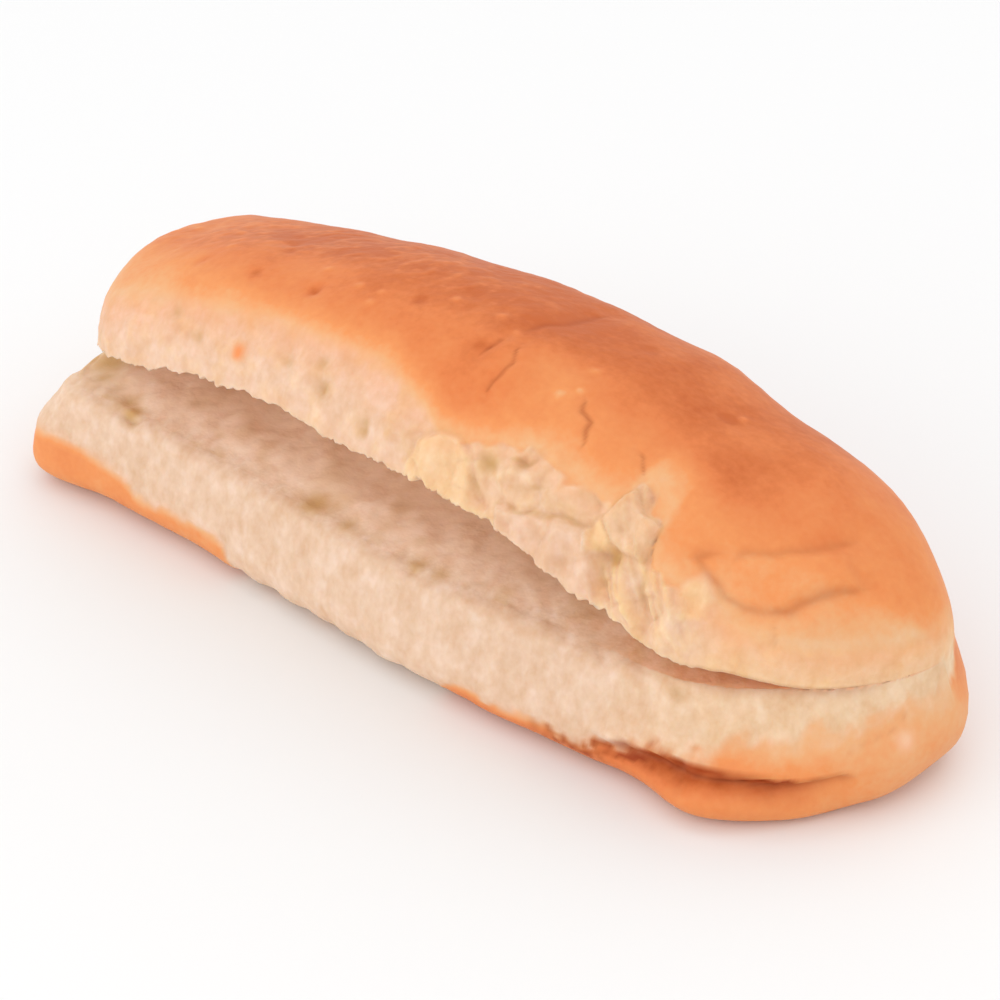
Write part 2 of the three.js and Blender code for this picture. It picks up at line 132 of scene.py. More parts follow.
def grain(points: Array, size: float | tuple[float, float, float], seed: float) -> Array:
    """Irregular noise between about -1 and 1.

    Args:
        points: places, in millimetres, one row each.
        size: size of a patch, or its size along each axis, in millimetres.
        seed: shift that makes one noise unlike another.

    Returns:
        One value for each row.
    """
    at = points / np.array(size, float) + seed
    return np.array([noise.noise(Vector(p)) for p in at.tolist()])


@dataclass(frozen=True)
class Caps:
    """Length and squareness of the two end caps, in millimetres."""

    left: float
    left_power: float
    right: float
    right_power: float

    def share(self, x: Array, half: float) -> Array:
        """Share of the full size that is left towards the ends.

        Args:
            x: stations.
            half: half the core length.

        Returns:
            1 along the middle, falling to 0 at each end.
        """
        size = np.where(x < 0, self.left, self.right)
        power = np.where(x < 0, self.left_power, self.right_power)
        t = np.clip((np.abs(x) - (half - size)) / size, 0, 1)
        return np.maximum(1 - t ** power, 0) ** (1 / power)


@dataclass(frozen=True)
class Bulge:
    """A swelling low on the front, or a waist where reach is below zero."""

    station: float
    length: float
    reach: float
    tall: float


@dataclass(frozen=True)
class LipRound:
    """Rounding of the lower lip: its way back, down the side, its drop and its way inward."""

    back: float
    side: float
    drop: float
    inward: float


@dataclass(frozen=True)
class Crease:
    """A line pressed or split into the skin; the path is (station, degrees round the section)."""

    path: Knots
    deep: float
    wide: float
    # How much shade is painted along the line; on the short specks of the lower right crust it is
    # their own darker colour.
    dark: float = 0.0
    line: float = 0.4
    # True where the line is a crevice in the crumb, its painted shade taking the olive colour of
    # the hollows.
    crevice_shade: bool = False


@dataclass(frozen=True)
class Pit:
    """A small dip or spot in the skin, or a raised place where deep is below zero; dark is
    painted shade in the dip, tan and the paleness are the spot's own colour.
    """

    station: float
    degrees: float
    deep: float
    wide: float
    dark: float = 0.0
    tan: float = 0.0
    painted_light_and_pale_spot: float = 0.0


@dataclass(frozen=True)
class Nick:
    """A dip in the lower cut face, darkened with painted shade; inward is the share of the way to
    the root.
    """

    station: float
    inward: float
    deep: float
    wide: float
    dark: float


@dataclass(frozen=True)
class Flap:
    """A raised torn piece with a crisp edge; the outline is (station, degrees)."""

    outline: Knots
    rise: float
    edge: float = 0.5
    yellow: float = 0.0
    # How much shade is painted along the flap's foot.
    shade: float = 0.2
    bare: bool = True

    def corners(self) -> Array:
        """Outline with the section laid out flat, in millimetres."""
        stations, degrees = np.array(self.outline, float).T
        return np.stack([stations, np.radians(degrees) * SECTION_RADIUS], -1)


@dataclass(frozen=True)
class RollForm:
    """The roll's true form, in millimetres, as a function of station and place round the loop.

    The mouth opens towards y below zero. Knots are (station, size) pairs. A pair holds a value
    for the left end and one for the right end, or the start and the stop of a change.
    """

    core_length: float = 143.0
    front_reach: float = 27.4
    back_reach: float = 23.9
    height: float = 38.5
    slit_height: float = 18.8
    base_sink: float = 0.6
    upper_round: float = 2.24
    lower_round: float = 4.49
    hinge_inset: float = 8.5
    root_y: float = 10.5
    half_kerf: float = 0.45
    lip_setback: float = 2.75
    setback_fade: tuple[float, float] = (60.0, 71.5)
    lip_round: LipRound = LipRound(1.5, 4.5, 1.8, 8.0)
    lip_sag: Knots = ((-71.5, 0.3), (-60, 0.1), (-45, 0), (-30, 0.5), (-18, 0), (-8, 0.8),
                     (2, 0.7), (12, 0.4), (22, -0.7), (32, -0.4), (38, -0.7), (44, 0), (50, 0.3),
                     (56, -0.9), (63, -0.5), (71.5, 0))
    mouth_closing: tuple[float, float] = (34.0, 66.0)
    open_degrees: Knots = ((-71.5, 7), (-51.7, 11.8), (-23.5, 18.5), (4.7, 18.8), (32.9, 10.2),
                          (54.5, 3.3), (66, 0), (71.5, 0))
    lower_plan: Caps = Caps(9.1, 3.54, 29.4, 2.07)
    upper_plan: Caps = Caps(23.8, 2.44, 30.2, 1.64)
    lower_rise: Caps = Caps(7.7, 2.99, 17.9, 3.84)
    upper_rise: Caps = Caps(15.8, 2.34, 35.5, 2.17)
    pole_y: tuple[float, float] = (12.8, 4.4)
    lower_overhang: tuple[float, float] = (4.9, 3.3)
    upper_overhang: tuple[float, float] = (2.1, 0.3)
    overhang_from: tuple[float, float] = (28.0, 68.0)
    top_shift: Knots = ((-71.5, -4.8), (-60, -5.4), (-52, -3.6), (-42, -1.7), (-33, -0.7),
                       (-14.1, 2), (5, 2.7), (23.5, 2.4), (40, -0.3), (56.4, -1), (71.5, -0.9))
    front_shift: Knots = ((-71.5, -0.5), (-42.3, -0.9), (0, 0.4), (42.3, -2.8), (71.5, -2))
    foot: Knots = ((-71.5, 6.5), (-47, 3.8), (-14.1, 3.6), (16.9, 4.8), (33.8, 5.2), (47, 2.8),
                  (58.3, 1.8), (64, 1.9), (71.5, 1.5))
    bulges: tuple[Bulge, ...] = (Bulge(52.7, 8.1, 4.0, 9.0), Bulge(65.2, 2.8, -2.1, 10.0))
    crust_above: Knots = ((-71.5, 7), (-60, 7.3), (-50, 9), (-30, 9.6), (-8, 11.3), (3.4, 8.9),
                          (7.9, 6.8), (12, 7.9), (22, 11.6), (29, 12.2), (34.5, 12), (36.5, 15.4),
                          (41.2, 14), (42.8, 10), (47, 8.6), (51, 8.2), (56, 6), (64, 5.4),
                          (68.4, 4.8), (71.5, 4.4))
    crust_below: Knots = ((-71.5, 10), (-61, 9.3), (-52, 10.4), (-48.4, 11.3), (-46.7, 13),
                          (-42, 12.2), (-31, 12.5), (-28, 18.5), (11, 18.5), (13.5, 15),
                          (20, 14.4), (36, 14.2), (38, 13.4), (45, 11.1), (49, 10.3), (52.3, 8.5),
                          (55, 7.1), (60, 6.8), (64, 5), (66.6, 5.6), (69.3, 4.3), (71.5, 3.9))
    edge_soft: Knots = ((-71.5, 4.5), (-20, 3.5), (4, 2.5), (9, 0.8), (46, 0.8), (52, 4),
                        (71.5, 5))
    band_ends: tuple[float, float] = (7.0, 15.0)

    @property
    def half(self) -> float:
        """Half the core length."""
        return self.core_length / 2

    @property
    def hinge(self) -> float:
        """Y of the line that the upper half opens about."""
        return self.back_reach - self.hinge_inset

    def mouth(self, x: Array) -> Array:
        """1 where the slit is at full depth, 0 where the roll is uncut."""
        return np.maximum(0, 1 - 1.04 * smooth(*self.mouth_closing, x))

    def pole(self, x: Array) -> Array:
        """Y that the sections draw together towards."""
        return self.pole_y[0] + (self.pole_y[1] - self.pole_y[0]) * smooth(-38, 38, x)

    def closed(self, x: Array, degrees: Array) -> Array:
        """Point on the closed roll.

        Args:
            x: stations.
            degrees: 180 is the upper lip, 90 the top, 0 the back, -180 the lower lip.

        Returns:
            Points, one row for each pair.
        """
        c = np.cos(np.radians(degrees))
        s = np.abs(np.sin(np.radians(degrees)))
        upper = degrees >= 0
        n = np.where(upper, self.upper_round, self.lower_round)
        r = (np.abs(c) ** n + s ** n) ** (-1 / n)
        opened = self.mouth(x)
        behind = 0.75 * smooth(-120, -30, degrees) + 0.25 * smooth(-30, 40, degrees)
        front_up = (degrees > 90).astype(float)
        uncut = np.maximum(np.maximum(behind, 1 - smooth(-180, -140, degrees)), front_up)
        hard = np.where(degrees > 90, 1.0, behind)
        share = uncut + (hard - uncut) * opened
        low_plan = self.lower_plan.share(x, self.half)
        high_plan = self.upper_plan.share(x, self.half)
        plan = low_plan + (high_plan - low_plan) * share
        setback = self.lip_setback * (1 - smooth(*self.setback_fade, x))
        low = np.minimum(1.12 * r * s, 1) ** 1.5
        spread = np.where(upper, 0, (along(self.foot, x) + setback) * low - setback)
        front = self.front_reach + along(self.front_shift, x) + spread
        pole = self.pole(x)
        y = pole + (np.where(c < 0, front, self.back_reach) * r * c - pole) * plan
        top = self.height + along(self.top_shift, x) - self.slit_height
        over = self.slit_height + top * self.upper_rise.share(x, self.half) * r * s
        drop = (self.slit_height + self.base_sink) * self.lower_rise.share(x, self.half) * r * s
        z = np.where(upper, over, np.maximum(0, self.slit_height - drop))
        swell = np.zeros_like(y)
        for bulge in self.bulges:
            near_base = smooth(bulge.tall + 4, bulge.tall - 6, z)
            swell = swell + bulge.reach * hump(x - bulge.station, bulge.length) * near_base
        lip = self.lip_round
        soft = lip.back * self.bend((self.slit_height - z) / lip.side) * opened * plan
        inward = soft - swell * np.clip(-1.6 * r * c, 0, 1)
        y = y + np.where(upper | (c >= 0), 0, inward)
        down = smooth(0, 0.6 * self.slit_height, self.slit_height - z)
        up = smooth(0, 0.6 * (self.height - self.slit_height), z - self.slit_height)
        left = self.lower_overhang[0] * down + self.upper_overhang[0] * up
        right = self.lower_overhang[1] * down + self.upper_overhang[1] * up
        past = np.where(x < 0, left, right) * smooth(*self.overhang_from, np.abs(x))
        return np.stack([x + np.sign(x) * past, y, z], -1)

    def open_up(self, x: Array, points: Array, share: Array) -> Array:
        """Turn points about the hinge line.

        Args:
            x: stations of the points.
            points: points of the closed roll.
            share: how much of the opening angle each point takes.

        Returns:
            The turned points, none of them below the floor.
        """
        fade = smooth(0, 0.25, self.upper_plan.share(x, self.half))
        angle = np.radians(along(self.open_degrees, x)) * share * fade
        dy = points[:, 1] - self.hinge
        dz = points[:, 2] - self.slit_height
        y = self.hinge + dy * np.cos(angle) + dz * np.sin(angle)
        z = self.slit_height - dy * np.sin(angle) + dz * np.cos(angle)
        return np.stack([points[:, 0], y, np.maximum(z, 0)], -1)

    def kerf(self, x: Array, upper: Array) -> Array:
        """Half width of the cut, signed for the half above or below it."""
        fade = smooth(0, 0.2, self.upper_plan.share(x, self.half))
        return np.where(upper, 1, -1) * self.half_kerf * self.mouth(x) * fade

    @staticmethod
    def bend(way: Array) -> Array:
        """Rounding of an edge: 1 at the edge, 0 a full way off."""
        return (1 - np.clip(way, 0, 1)) ** 2

    def skin(self, x: Array, degrees: Array, rag: Array | float = 0.0) -> Array:
        """Outside of the opened roll before relief.

        Args:
            x: stations.
            degrees: places round the section.
            rag: how far the torn lip is lifted.

        Returns:
            Points, one row for each pair.
        """
        upper = degrees >= 0
        points = self.closed(x, degrees)
        rise = points[:, 2] - self.slit_height
        bearing = np.degrees(np.arctan2(rise, points[:, 1] - self.hinge))
        front = points[:, 1] < self.hinge
        share = np.where(front, upper.astype(float), smooth(-50, 60, bearing))
        lift = (self.kerf(x, upper) + rag) * smooth(4, 0, np.abs(rise))
        whole = smooth(0, 0.3, self.upper_plan.share(x, self.half))
        lip = self.lip_round
        lowered = lip.drop * self.bend(-rise / lip.side) * self.mouth(x) * whole
        sag = along(self.lip_sag, x) * smooth(9, 0, rise) * whole
        points[:, 2] += np.where(np.abs(degrees) > 90, lift - np.where(upper, sag, lowered), 0)
        return self.open_up(x, points, share)

    def face(self, x: Array, depth: Array, upper: bool, rag: Array | float = 0.0) -> Array:
        """Point on a face of the slit.

        Args:
            x: stations.
            depth: 0 at the lip, 1 at the root.
            upper: whether it is the upper face.
            rag: how far the torn lip is lifted.

        Returns:
            Points, one row for each pair.
        """
        lip = self.closed(x, np.full_like(x, 180.0 if upper else -180.0))
        plan = self.upper_plan.share(x, self.half)
        root = self.pole(x) + (self.root_y - self.pole(x)) * plan
        inward = (root - lip[:, 1]) * self.mouth(x) * depth
        lip[:, 1] += inward
        inside = smooth(0, 0.3, depth) * smooth(1, 0.7, depth) * self.mouth(x) * plan
        swell = 0.45 * inside * (1 + ripple(lip, 17.0)) / 2
        sign = 1 if upper else -1
        lip[:, 2] = self.slit_height + self.kerf(x, upper) + sign * swell
        lip[:, 2] += rag * smooth(0.1, 0.0, depth)
        whole = smooth(0, 0.3, plan)
        if upper:
            fade = 1 - self.mouth(x) * smooth(0, 0.4, depth)
            lip[:, 2] -= along(self.lip_sag, x) * fade * whole
        else:
            edge = self.bend(inward / self.lip_round.inward)
            lip[:, 2] -= self.lip_round.drop * edge * self.mouth(x) * whole
        return self.open_up(x, lip, np.full_like(x, 1.0 if upper else 0.0))

    def crust_reach(self, x: Array, degrees: Array) -> Array:
        """How far a place lies from the torn edge onto the crust.

        Args:
            x: stations.
            degrees: places round the section.

        Returns:
            Millimetres, below zero on the crumb.
        """
        flat = self.closed(x, degrees)
        rise = flat[:, 2] - self.slit_height
        above = rise - along(self.crust_above, x)
        below = -rise - along(self.crust_below, x)
        return np.where(degrees >= 0, above, below) + 25 * smooth(*self.band_ends, flat[:, 1])

    def torn(self, x: Array, degrees: Array, reach: Array) -> Array:
        """How much of the crumb shows at a place on the outside, from 0 to 1."""
        soft = np.where(degrees >= 0, along(self.edge_soft, x), 0.9 + 2.6 * smooth(38, 50, x))
        return smooth(0.5, -0.5, reach / soft)

    def traced(self, path: Knots) -> Array:
        """Closely spaced points of the outside along a path.

        Args:
            path: (station, degrees) knots.

        Returns:
            Points, one row each.
        """
        knots = np.array(path, float)
        step = np.arange(len(knots))
        t = np.linspace(0, len(knots) - 1, 4 * (len(knots) - 1) + 1)
        return self.skin(np.interp(t, step, knots[:, 0]), np.interp(t, step, knots[:, 1]))

    def normals(self, x: Array, degrees: Array) -> Array:
        """Outward direction of the outside before relief.

        Args:
            x: stations.
            degrees: places round the section.

        Returns:
            Directions of length 1, one row for each pair.
        """
        here = self.skin(x, degrees)
        step_x = np.where(x < 0, 0.2, -0.2)
        step_a = np.where(np.abs(degrees) > 179, -np.sign(degrees), 1.0)
        to_x = (self.skin(x + step_x, degrees) - here) * np.sign(step_x)[:, None]
        to_a = (self.skin(x, degrees + step_a) - here) * np.sign(step_a)[:, None]
        out = np.cross(to_a, to_x)
        return out / np.maximum(np.linalg.norm(out, axis=1, keepdims=True), 1e-9)


def distance_to_path(points: Array, path: Array) -> Array:
    """Shortest way from each point to a path.

    Args:
        points: places, one row each.
        path: points of the path, one row each.

    Returns:
        One distance for each place.
    """
    least = np.full(len(points), np.inf)
    for a, b in zip(path[:-1], path[1:]):
        way = b - a
        t = np.clip((points - a) @ way / max(way @ way, 1e-9), 0, 1)
        least = np.minimum(least, np.linalg.norm(points - a - t[:, None] * way, axis=1))
    return least


def inside_by(points: Array, outline: Array) -> Array:
    """How far flat points lie inside a closed outline, below zero outside it.

    Args:
        points: places on the sheet, one row each.
        outline: corners of the outline on the same sheet.

    Returns:
        One distance for each point.
    """
    inside = np.zeros(len(points), bool)
    for a, b in zip(outline, np.roll(outline, -1, axis=0)):
        crosses = (a[1] > points[:, 1]) != (b[1] > points[:, 1])
        climb = b[1] - a[1] if abs(b[1] - a[1]) > 1e-9 else 1e-9
        inside ^= crosses & (points[:, 0] < a[0] + (points[:, 1] - a[1]) / climb * (b[0] - a[0]))
    away = distance_to_path(points, np.vstack([outline, outline[:1]]))
    return np.where(inside, away, -away)


# Each place on the skin is a station in millimetres and the degrees round the section there.
# Their dark lines are painted shade in the creases, splits and crumb crevices; the five short
# ones on the lower right crust are dark specks of its own colour.
CREASES = (
    Crease(((9.7, 82), (9.7, 103), (8.2, 120)), 0.45, 4.0, 0.32, 0.6),
    Crease(((6.4, 135), (7.0, 129.9), (7.3, 123.5)), 0.35, 1.6, 0.75, 0.36),
    Crease(((10, 123), (10.3, 127.2), (11.5, 131.3), (11.2, 139.8), (12.1, 146)), 0.3, 1.6, 0.6,
           0.3),
    Crease(((22.2, 124), (24, 128.6), (25.5, 129.3), (27, 138.5)), 0.28, 1.6, 0.58, 0.3),
    Crease(((32.3, 124), (34.1, 125.2), (35.9, 131.3)), 0.28, 1.6, 0.58, 0.3),
    Crease(((38, 129.3), (38.6, 132.7), (39.2, 137.4)), 0.28, 1.4, 0.7, 0.32),
    Crease(((49.3, 132), (47.3, 138.5), (50.8, 142.5), (52.3, 146.3), (55, 146.6), (57.7, 142.9),
            (59.5, 139.1), (60.1, 132.7), (61.6, 124.2), (64.2, 111.2)), 0.7, 2.6, 0.28, 0.65),
    Crease(((51.1, 134.7), (51.7, 127.2), (54.1, 122.5), (56.5, 113.9), (58.6, 101.7),
            (59.5, 92.5)), 0.6, 2.8, 0.2, 0.7),
    Crease(((58.3, 149), (58.9, 154.1), (59.2, 163.3)), 0.2, 1.0, 0.4, 0.32),
    Crease(((49.9, -151.8), (50.2, -147.1), (50.8, -142)), 0.9, 1.6, 0.5, 0.4),
    *(Crease(((x, d), (x + 0.5, d - 0.6)), 0.15, 1.0, 0.45, 0.8) for x, d in (
        (67.2, -157.6), (68.4, -158.6), (69.3, -158.2), (69.8, -161), (66.0, -156.4))),
    Crease(((14.2, 165), (15.9, 171.5), (17.1, 176)), 0.7, 1.6, 0.5, 0.5, True),
    Crease(((19.5, 169.8), (23.4, 167.2), (28.8, 158.5), (33.2, 155.5)), 0.7, 1.5, 0.5, 0.4,
           True),
    Crease(((33.5, 155.5), (35.9, 159.5), (36.5, 167.1), (38.6, 175)), 0.7, 1.5, 0.4, 0.5, True),
    Crease(((18.0, 156), (21.5, 152.5), (23.0, 147.0)), 0.5, 1.2, 0.6, 0.4, True),
    Crease(((42.2, 150.5), (42.8, 160.3), (45.2, 168.1)), 0.5, 1.8, 0.4, 0.5, True),
    Crease(((18.3, 161.5), (20.1, 157.5), (22.8, 155.5), (24.9, 149.4), (24.6, 145.6)),
           -0.5, 1.7),
    Crease(((20.5, 162.5), (23, 159.5), (26.1, 152.5)), 0.4, 1.4, 0.4, 0.5, True),
    Crease(((39.2, 159.2), (43.1, 175)), -0.6, 1.8),
    Crease(((43.4, 161), (47.3, 178)), -0.6, 1.8),
    Crease(((46.3, 156), (49.6, 175.6)), -0.4, 1.6),
)
# Its dark line is painted shadow under the overhanging crumb.
FOLD = Crease(((38, -146.5), (43.7, -149.2), (47, -150.5), (54.1, -151.8), (57.1, -151),
               (60.7, -149.2), (65.7, -148.4)), 2.5, 3.0, 1.15, 1.1)
FLAPS = (
    Flap(((34.4, 149.4), (35.2, 142), (36.2, 135.1), (38.2, 139), (41.3, 138.5), (41.9, 145.9),
          (41.3, 151.4), (38.6, 153.5), (36.5, 152.5)), 1.2, 0.3, 0.35, 0.3),
    Flap(((34.2, 150), (36.4, 153), (36.2, 158), (33.9, 162), (32.6, 156)), 0.8, 0.5, 0.9, 0.2),
    Flap(((4.6, 180), (5.6, 167), (8.4, 161.5), (11.5, 160), (14, 163.5), (14.8, 168),
          (16.4, 180)), 0.8, 0.5, 0.7, 0.1),
    Flap(((19.8, 172), (23.4, 167.6), (28.8, 158.8), (33, 156), (35, 161), (35.8, 168),
          (37.6, 180), (20.5, 180)), 1.0, 0.5, 0.0, 0.1),
    Flap(((47.6, 151), (49.4, 142.5), (51.4, 148), (51.0, 158), (48.6, 162)), 0.45, 0.8, 0.8,
         0.0),
    Flap(((48.0, 141), (50.7, 147), (54.4, 148.8), (57.5, 145), (58.8, 138), (60, 129),
          (63.4, 113.9), (60, 105), (56.8, 115), (54.1, 123.5), (51.8, 129)), 0.7, 1.3, 0.0, 0.0,
         False),
)
# Dark pits have painted shade in them; the brown pits, the raised paler ones and the paler spot
# are the skin's own colour.
PITS = (
    Pit(37.7, 157.2, 1.4, 2.3, 0.85),
    Pit(16.5, 160.9, 1.1, 2.3, 0.8),
    Pit(21.0, 153.8, 0.7, 1.5, 0.6),
    Pit(-14.5, 157.5, 0.4, 1.8, 0.5),
    Pit(-13.3, 166.4, 0.4, 1.4, 0.6),
    Pit(-20.4, 162.3, 0.3, 1.8, 0.4),
    Pit(-4.3, 169.1, 0.3, 1.6, 0.5),
    Pit(-13.0, 165, 0.8, 2.4, 0.6),
    Pit(-4.0, 171.8, 0.5, 1.8, 0.6),
    Pit(-38.0, 161.3, 0.4, 2.0, 0.5),
    Pit(-43.4, 152.4, 0.4, 2.0, 0.4),
    Pit(-52.5, -175, 0.6, 2.2, 0.6),
    Pit(48.4, -172.3, 0.5, 2.0, 0.5),
    Pit(-29.7, 164.3, 0.1, 1.7, 0.0, 0.9),
    Pit(-24.3, 134, 0.5, 2.4),
    Pit(-38.9, 107.8, 0.4, 2.4),
    *(Pit(x, d, 0.15, 1.8, 0.0, 0.22) for x, d in (
        (-36.5, 114.3), (-46.7, 126.9), (-35.9, 131.6), (5.5, 131.0), (-8.5, 123.8),
        (36.2, 90.1), (20.7, 91.5), (-24.3, 134))),
    *(Pit(x, d, -0.16, 1.1, 0.0, -0.25) for x, d in (
        (-60.4, 97.9), (-50.2, 101.3), (-46.4, 110.2), (-45.2, 117.7), (-26.1, 122.4),
        (-18.6, 126.5), (-14.5, 126.2), (-14.5, 132), (-4.3, 118), (3.6, 117), (7.8, 120.8),
        (19.8, 129.6), (21.5, 124), (20.4, 115.3), (37.1, 85))),
    Pit(70.2, -151, 0.0, 2.333, painted_light_and_pale_spot=0.4),
)
# The darkness of each nick is painted shade.
NICKS = (
    Nick(-66.7, 0.2, 0.9, 7.0, 0.9),
    Nick(-64.0, 0.12, 0.5, 4.4, 0.7),
    Nick(-60.2, 0.09, 0.5, 3.2, 0.5),
    Nick(-56.6, 0.05, 0.6, 3.4, 0.7),
    Nick(-54.0, 0.0, 0.8, 2.8, 0.9),
    Nick(-47.0, 0.22, 0.3, 2.6, 0.4),
    Nick(-38.8, 0.1, 0.2, 1.8, 0.4),
    Nick(-29.6, 0.1, 0.2, 2.0, 0.4),
    Nick(-16.5, 0.045, 0.6, 4.2, 0.85),
    Nick(-13.5, 0.07, 0.3, 3.4, 0.5),
    Nick(-9.0, 0.03, 0.4, 2.6, 0.6),
    Nick(4.8, 0.015, 0.5, 2.4, 0.7),
    Nick(8.5, 0.02, 0.3, 2.4, 0.5),
)


def nicked(form: RollForm, points: Array) -> tuple[Array, Array]:
    """What the nicks of the lower cut face do at each point.

    Args:
        form: the roll's form.
        points: places, in millimetres, one row each.

    Returns:
        How deep each place is cut, and how much shade is painted there.
    """
    cut = np.zeros(len(points))
    dark = np.zeros(len(points))
    for nick in NICKS:
        centre = form.face(np.array([nick.station]), np.array([nick.inward]), False)
        near = hump(np.linalg.norm(points - centre, axis=1), 0.6 * nick.wide)
        cut += nick.deep * near
        dark = np.maximum(dark, nick.dark * near)
    return cut, dark


@dataclass
class Outside:
    """Places of the outside while their relief and painting are worked out.

    Attributes:
        form: the roll's form.
        x: stations.
        degrees: places round the section.
        rag: how far the torn lip is lifted, in millimetres.
        upper: whether a place is on the upper half.
        base: points before relief.
        wavy: the same points, moved a little so that what lies on them has uneven edges.
        flat: places with the section laid out flat, moved in the same way.
        border: millimetres from the torn edge onto the crust, below zero on the crumb.
        wander: how much the torn edge strays there, in millimetres.
        peeled: 1 along the stretch where the crust is peeled off.
        height: relief over the base, in millimetres.
        torn: how much of the crumb shows.
        fold_shade_and_specks: how much shade is painted along creases, splits, the tucked-in
            crust and the closed seam, and how dark the short specks on the lower right crust are.
        crevice_shade: how much shade is painted along creases in the crumb and at the foot of the
            flaps.
        blotch_and_valley_shade: how much the crumb is darkened in random blotches, with painted
            shade in the valleys between its lobes.
        hollow_shade_and_blotch: how much shade is painted in the crumb's hollows, pits, nicks and
            crevices, with its random dark blotches.
        yellow: how yellow the crumb is.
        tan: how much browner or paler the crust is than its baking.
        painted_light_and_pale_spot: how much paler a spot is.
    """

    form: RollForm
    x: Array
    degrees: Array
    rag: Array
    upper: Array = field(init=False)
    base: Array = field(init=False)
    wavy: Array = field(init=False)
    flat: Array = field(init=False)
    border: Array = field(init=False)
    wander: Array = field(init=False)
    peeled: Array = field(init=False)
    height: Array = field(init=False)
    torn: Array = field(init=False)
    fold_shade_and_specks: Array = field(init=False)
    crevice_shade: Array = field(init=False)
    blotch_and_valley_shade: Array = field(init=False)
    hollow_shade_and_blotch: Array = field(init=False)
    yellow: Array = field(init=False)
    tan: Array = field(init=False)
    painted_light_and_pale_spot: Array = field(init=False)

    def __post_init__(self) -> None:
        """Lay out the plain outside and the uneven border between crust and crumb."""
        x, form = self.x, self.form
        self.upper = self.degrees >= 0
        self.base = form.skin(x, self.degrees, self.rag)
        self.border = form.crust_reach(x, self.degrees)
        ragged = np.where(self.upper, stretch(RAGGED_BORDER, x), smooth(-50, -46, x))
        frayed = np.where(self.upper, 0.0, smooth(26, 34, x))
        self.wander = (0.5 + 0.7 * ragged) * grain(self.base, 6.0, 2.5)
        self.wander += (0.2 + 0.8 * ragged + 0.8 * frayed) * grain(self.base, 1.9, 8.5)
        self.wander += 0.7 * frayed * grain(self.base, 0.9, 5.5)
        self.torn = form.torn(x, self.degrees, self.border + self.wander)
        self.peeled = np.where(self.upper, stretch(PEELED, x), 0.0)
        waver = np.stack([grain(self.base, 2.4, seed) for seed in (3.3, 6.7, 9.1)], -1)
        self.wavy = self.base + 0.45 * waver
        turn = np.radians(self.degrees) * SECTION_RADIUS
        self.flat = np.stack([x, turn], -1) + 0.35 * waver[:, :2]
        self.fold_shade_and_specks = np.zeros_like(x)
        self.crevice_shade = np.zeros_like(x)
        self.painted_light_and_pale_spot = np.zeros_like(x)

    def crumple(self) -> None:
        """Raise the crumb's lumps and strands and the crust's fine wrinkles, and paint them, with
        painted shade in the valleys between the crumb's lobes.
        """
        x, base, upper, peeled = self.x, self.base, self.upper, self.peeled
        tufts = np.where(upper, stretch(TUFTED, x), 0.0)
        rough = np.where(upper, 0.45 + 0.55 * peeled, 0.45 + 0.35 * smooth(30, 44, x))
        swell = np.where(upper, 0.3 + 0.7 * peeled, 0.3)
        fibre = np.sin(2 * math.pi * x / 6.5 + 1.5 * ripple(base, 23.0))
        lobe = (1 - np.minimum(1.9 * np.abs(grain(self.wavy, 4.6, 4.9)), 1)) ** 4
        turn = np.radians(self.degrees) * SECTION_RADIUS
        slanted = np.stack([x - 0.65 * turn, turn, np.zeros_like(x)], -1)
        patches = 0.55 * grain(base, 3.2, 1.5) + 0.35 * grain(base, 1.4, 7.1)
        strands = 0.6 * grain(slanted, (1.5, 7.0, 1.0), 4.4)
        strands += 0.4 * grain(slanted, (0.75, 4.0, 1.0), 8.3)
        crumb = swell * (0.5 * ripple(base, 12.0) + 0.35 * fibre) - 0.35 * peeled * lobe
        crumb += rough * (0.6 * patches + (0.2 + 0.9 * tufts) * strands)
        flaky = stretch(FLAKY_DEGREES, self.degrees) * smooth(14, -10, x)
        wrinkle = (1 - np.minimum(3.0 * np.abs(grain(self.wavy, 5.0, 6.2)), 1)) ** 2
        crust = 0.35 * ripple(base, 34.0) + 0.12 * grain(base, 7.0, 2.1)
        crust += (0.06 + 0.07 * flaky) * grain(base, 1.8, 9.4) + 0.12 * flaky * (wrinkle - 0.4)
        self.height = self.torn * crumb + (1 - self.torn) * crust
        fleck = smooth(0.25, 0.55, grain(base, (1.3, 1.0, 1.0), 15.1))
        self.tan = -0.14 * flaky * (wrinkle + fleck)
        upper_yellow = 0.25 * peeled + 0.35 * smooth(-0.1, 0.5, patches)
        upper_yellow += 0.5 * tufts * smooth(-0.2, 0.4, strands) + 0.6 * smooth(48, 56, x)
        self.yellow = np.where(upper, upper_yellow, 0.4 * smooth(30, 60, x))
        # Random dark blotches on the crumb, and painted shade in the valleys between its lobes.
        patchy = smooth(0.15, 0.6, grain(base, 4.2, 12.7))
        self.blotch_and_valley_shade = 0.14 * rough * patchy + 0.1 * lobe * peeled

    def press_creases(self) -> None:
        """Press the creases and splits into the skin, and paint shade along their lines and the
        specks' own darker colour.
        """
        for crease in CREASES:
            line = self.form.traced(crease.path)
            away = distance_to_path(self.wavy, line)
            tips = np.minimum(np.linalg.norm(self.wavy - line[0], axis=1),
                              np.linalg.norm(self.wavy - line[-1], axis=1))
            taper = 0.25 + 0.75 * smooth(0, 2.5, tips)
            sharp = hump(away, crease.line * taper) * taper
            self.height -= crease.deep * (0.8 * hump(away, 0.6 * crease.wide) + 0.2 * sharp)
            if crease.crevice_shade:
                self.crevice_shade = np.maximum(self.crevice_shade, crease.dark * sharp)
            else:
                self.fold_shade_and_specks = np.maximum(self.fold_shade_and_specks, crease.dark * sharp)

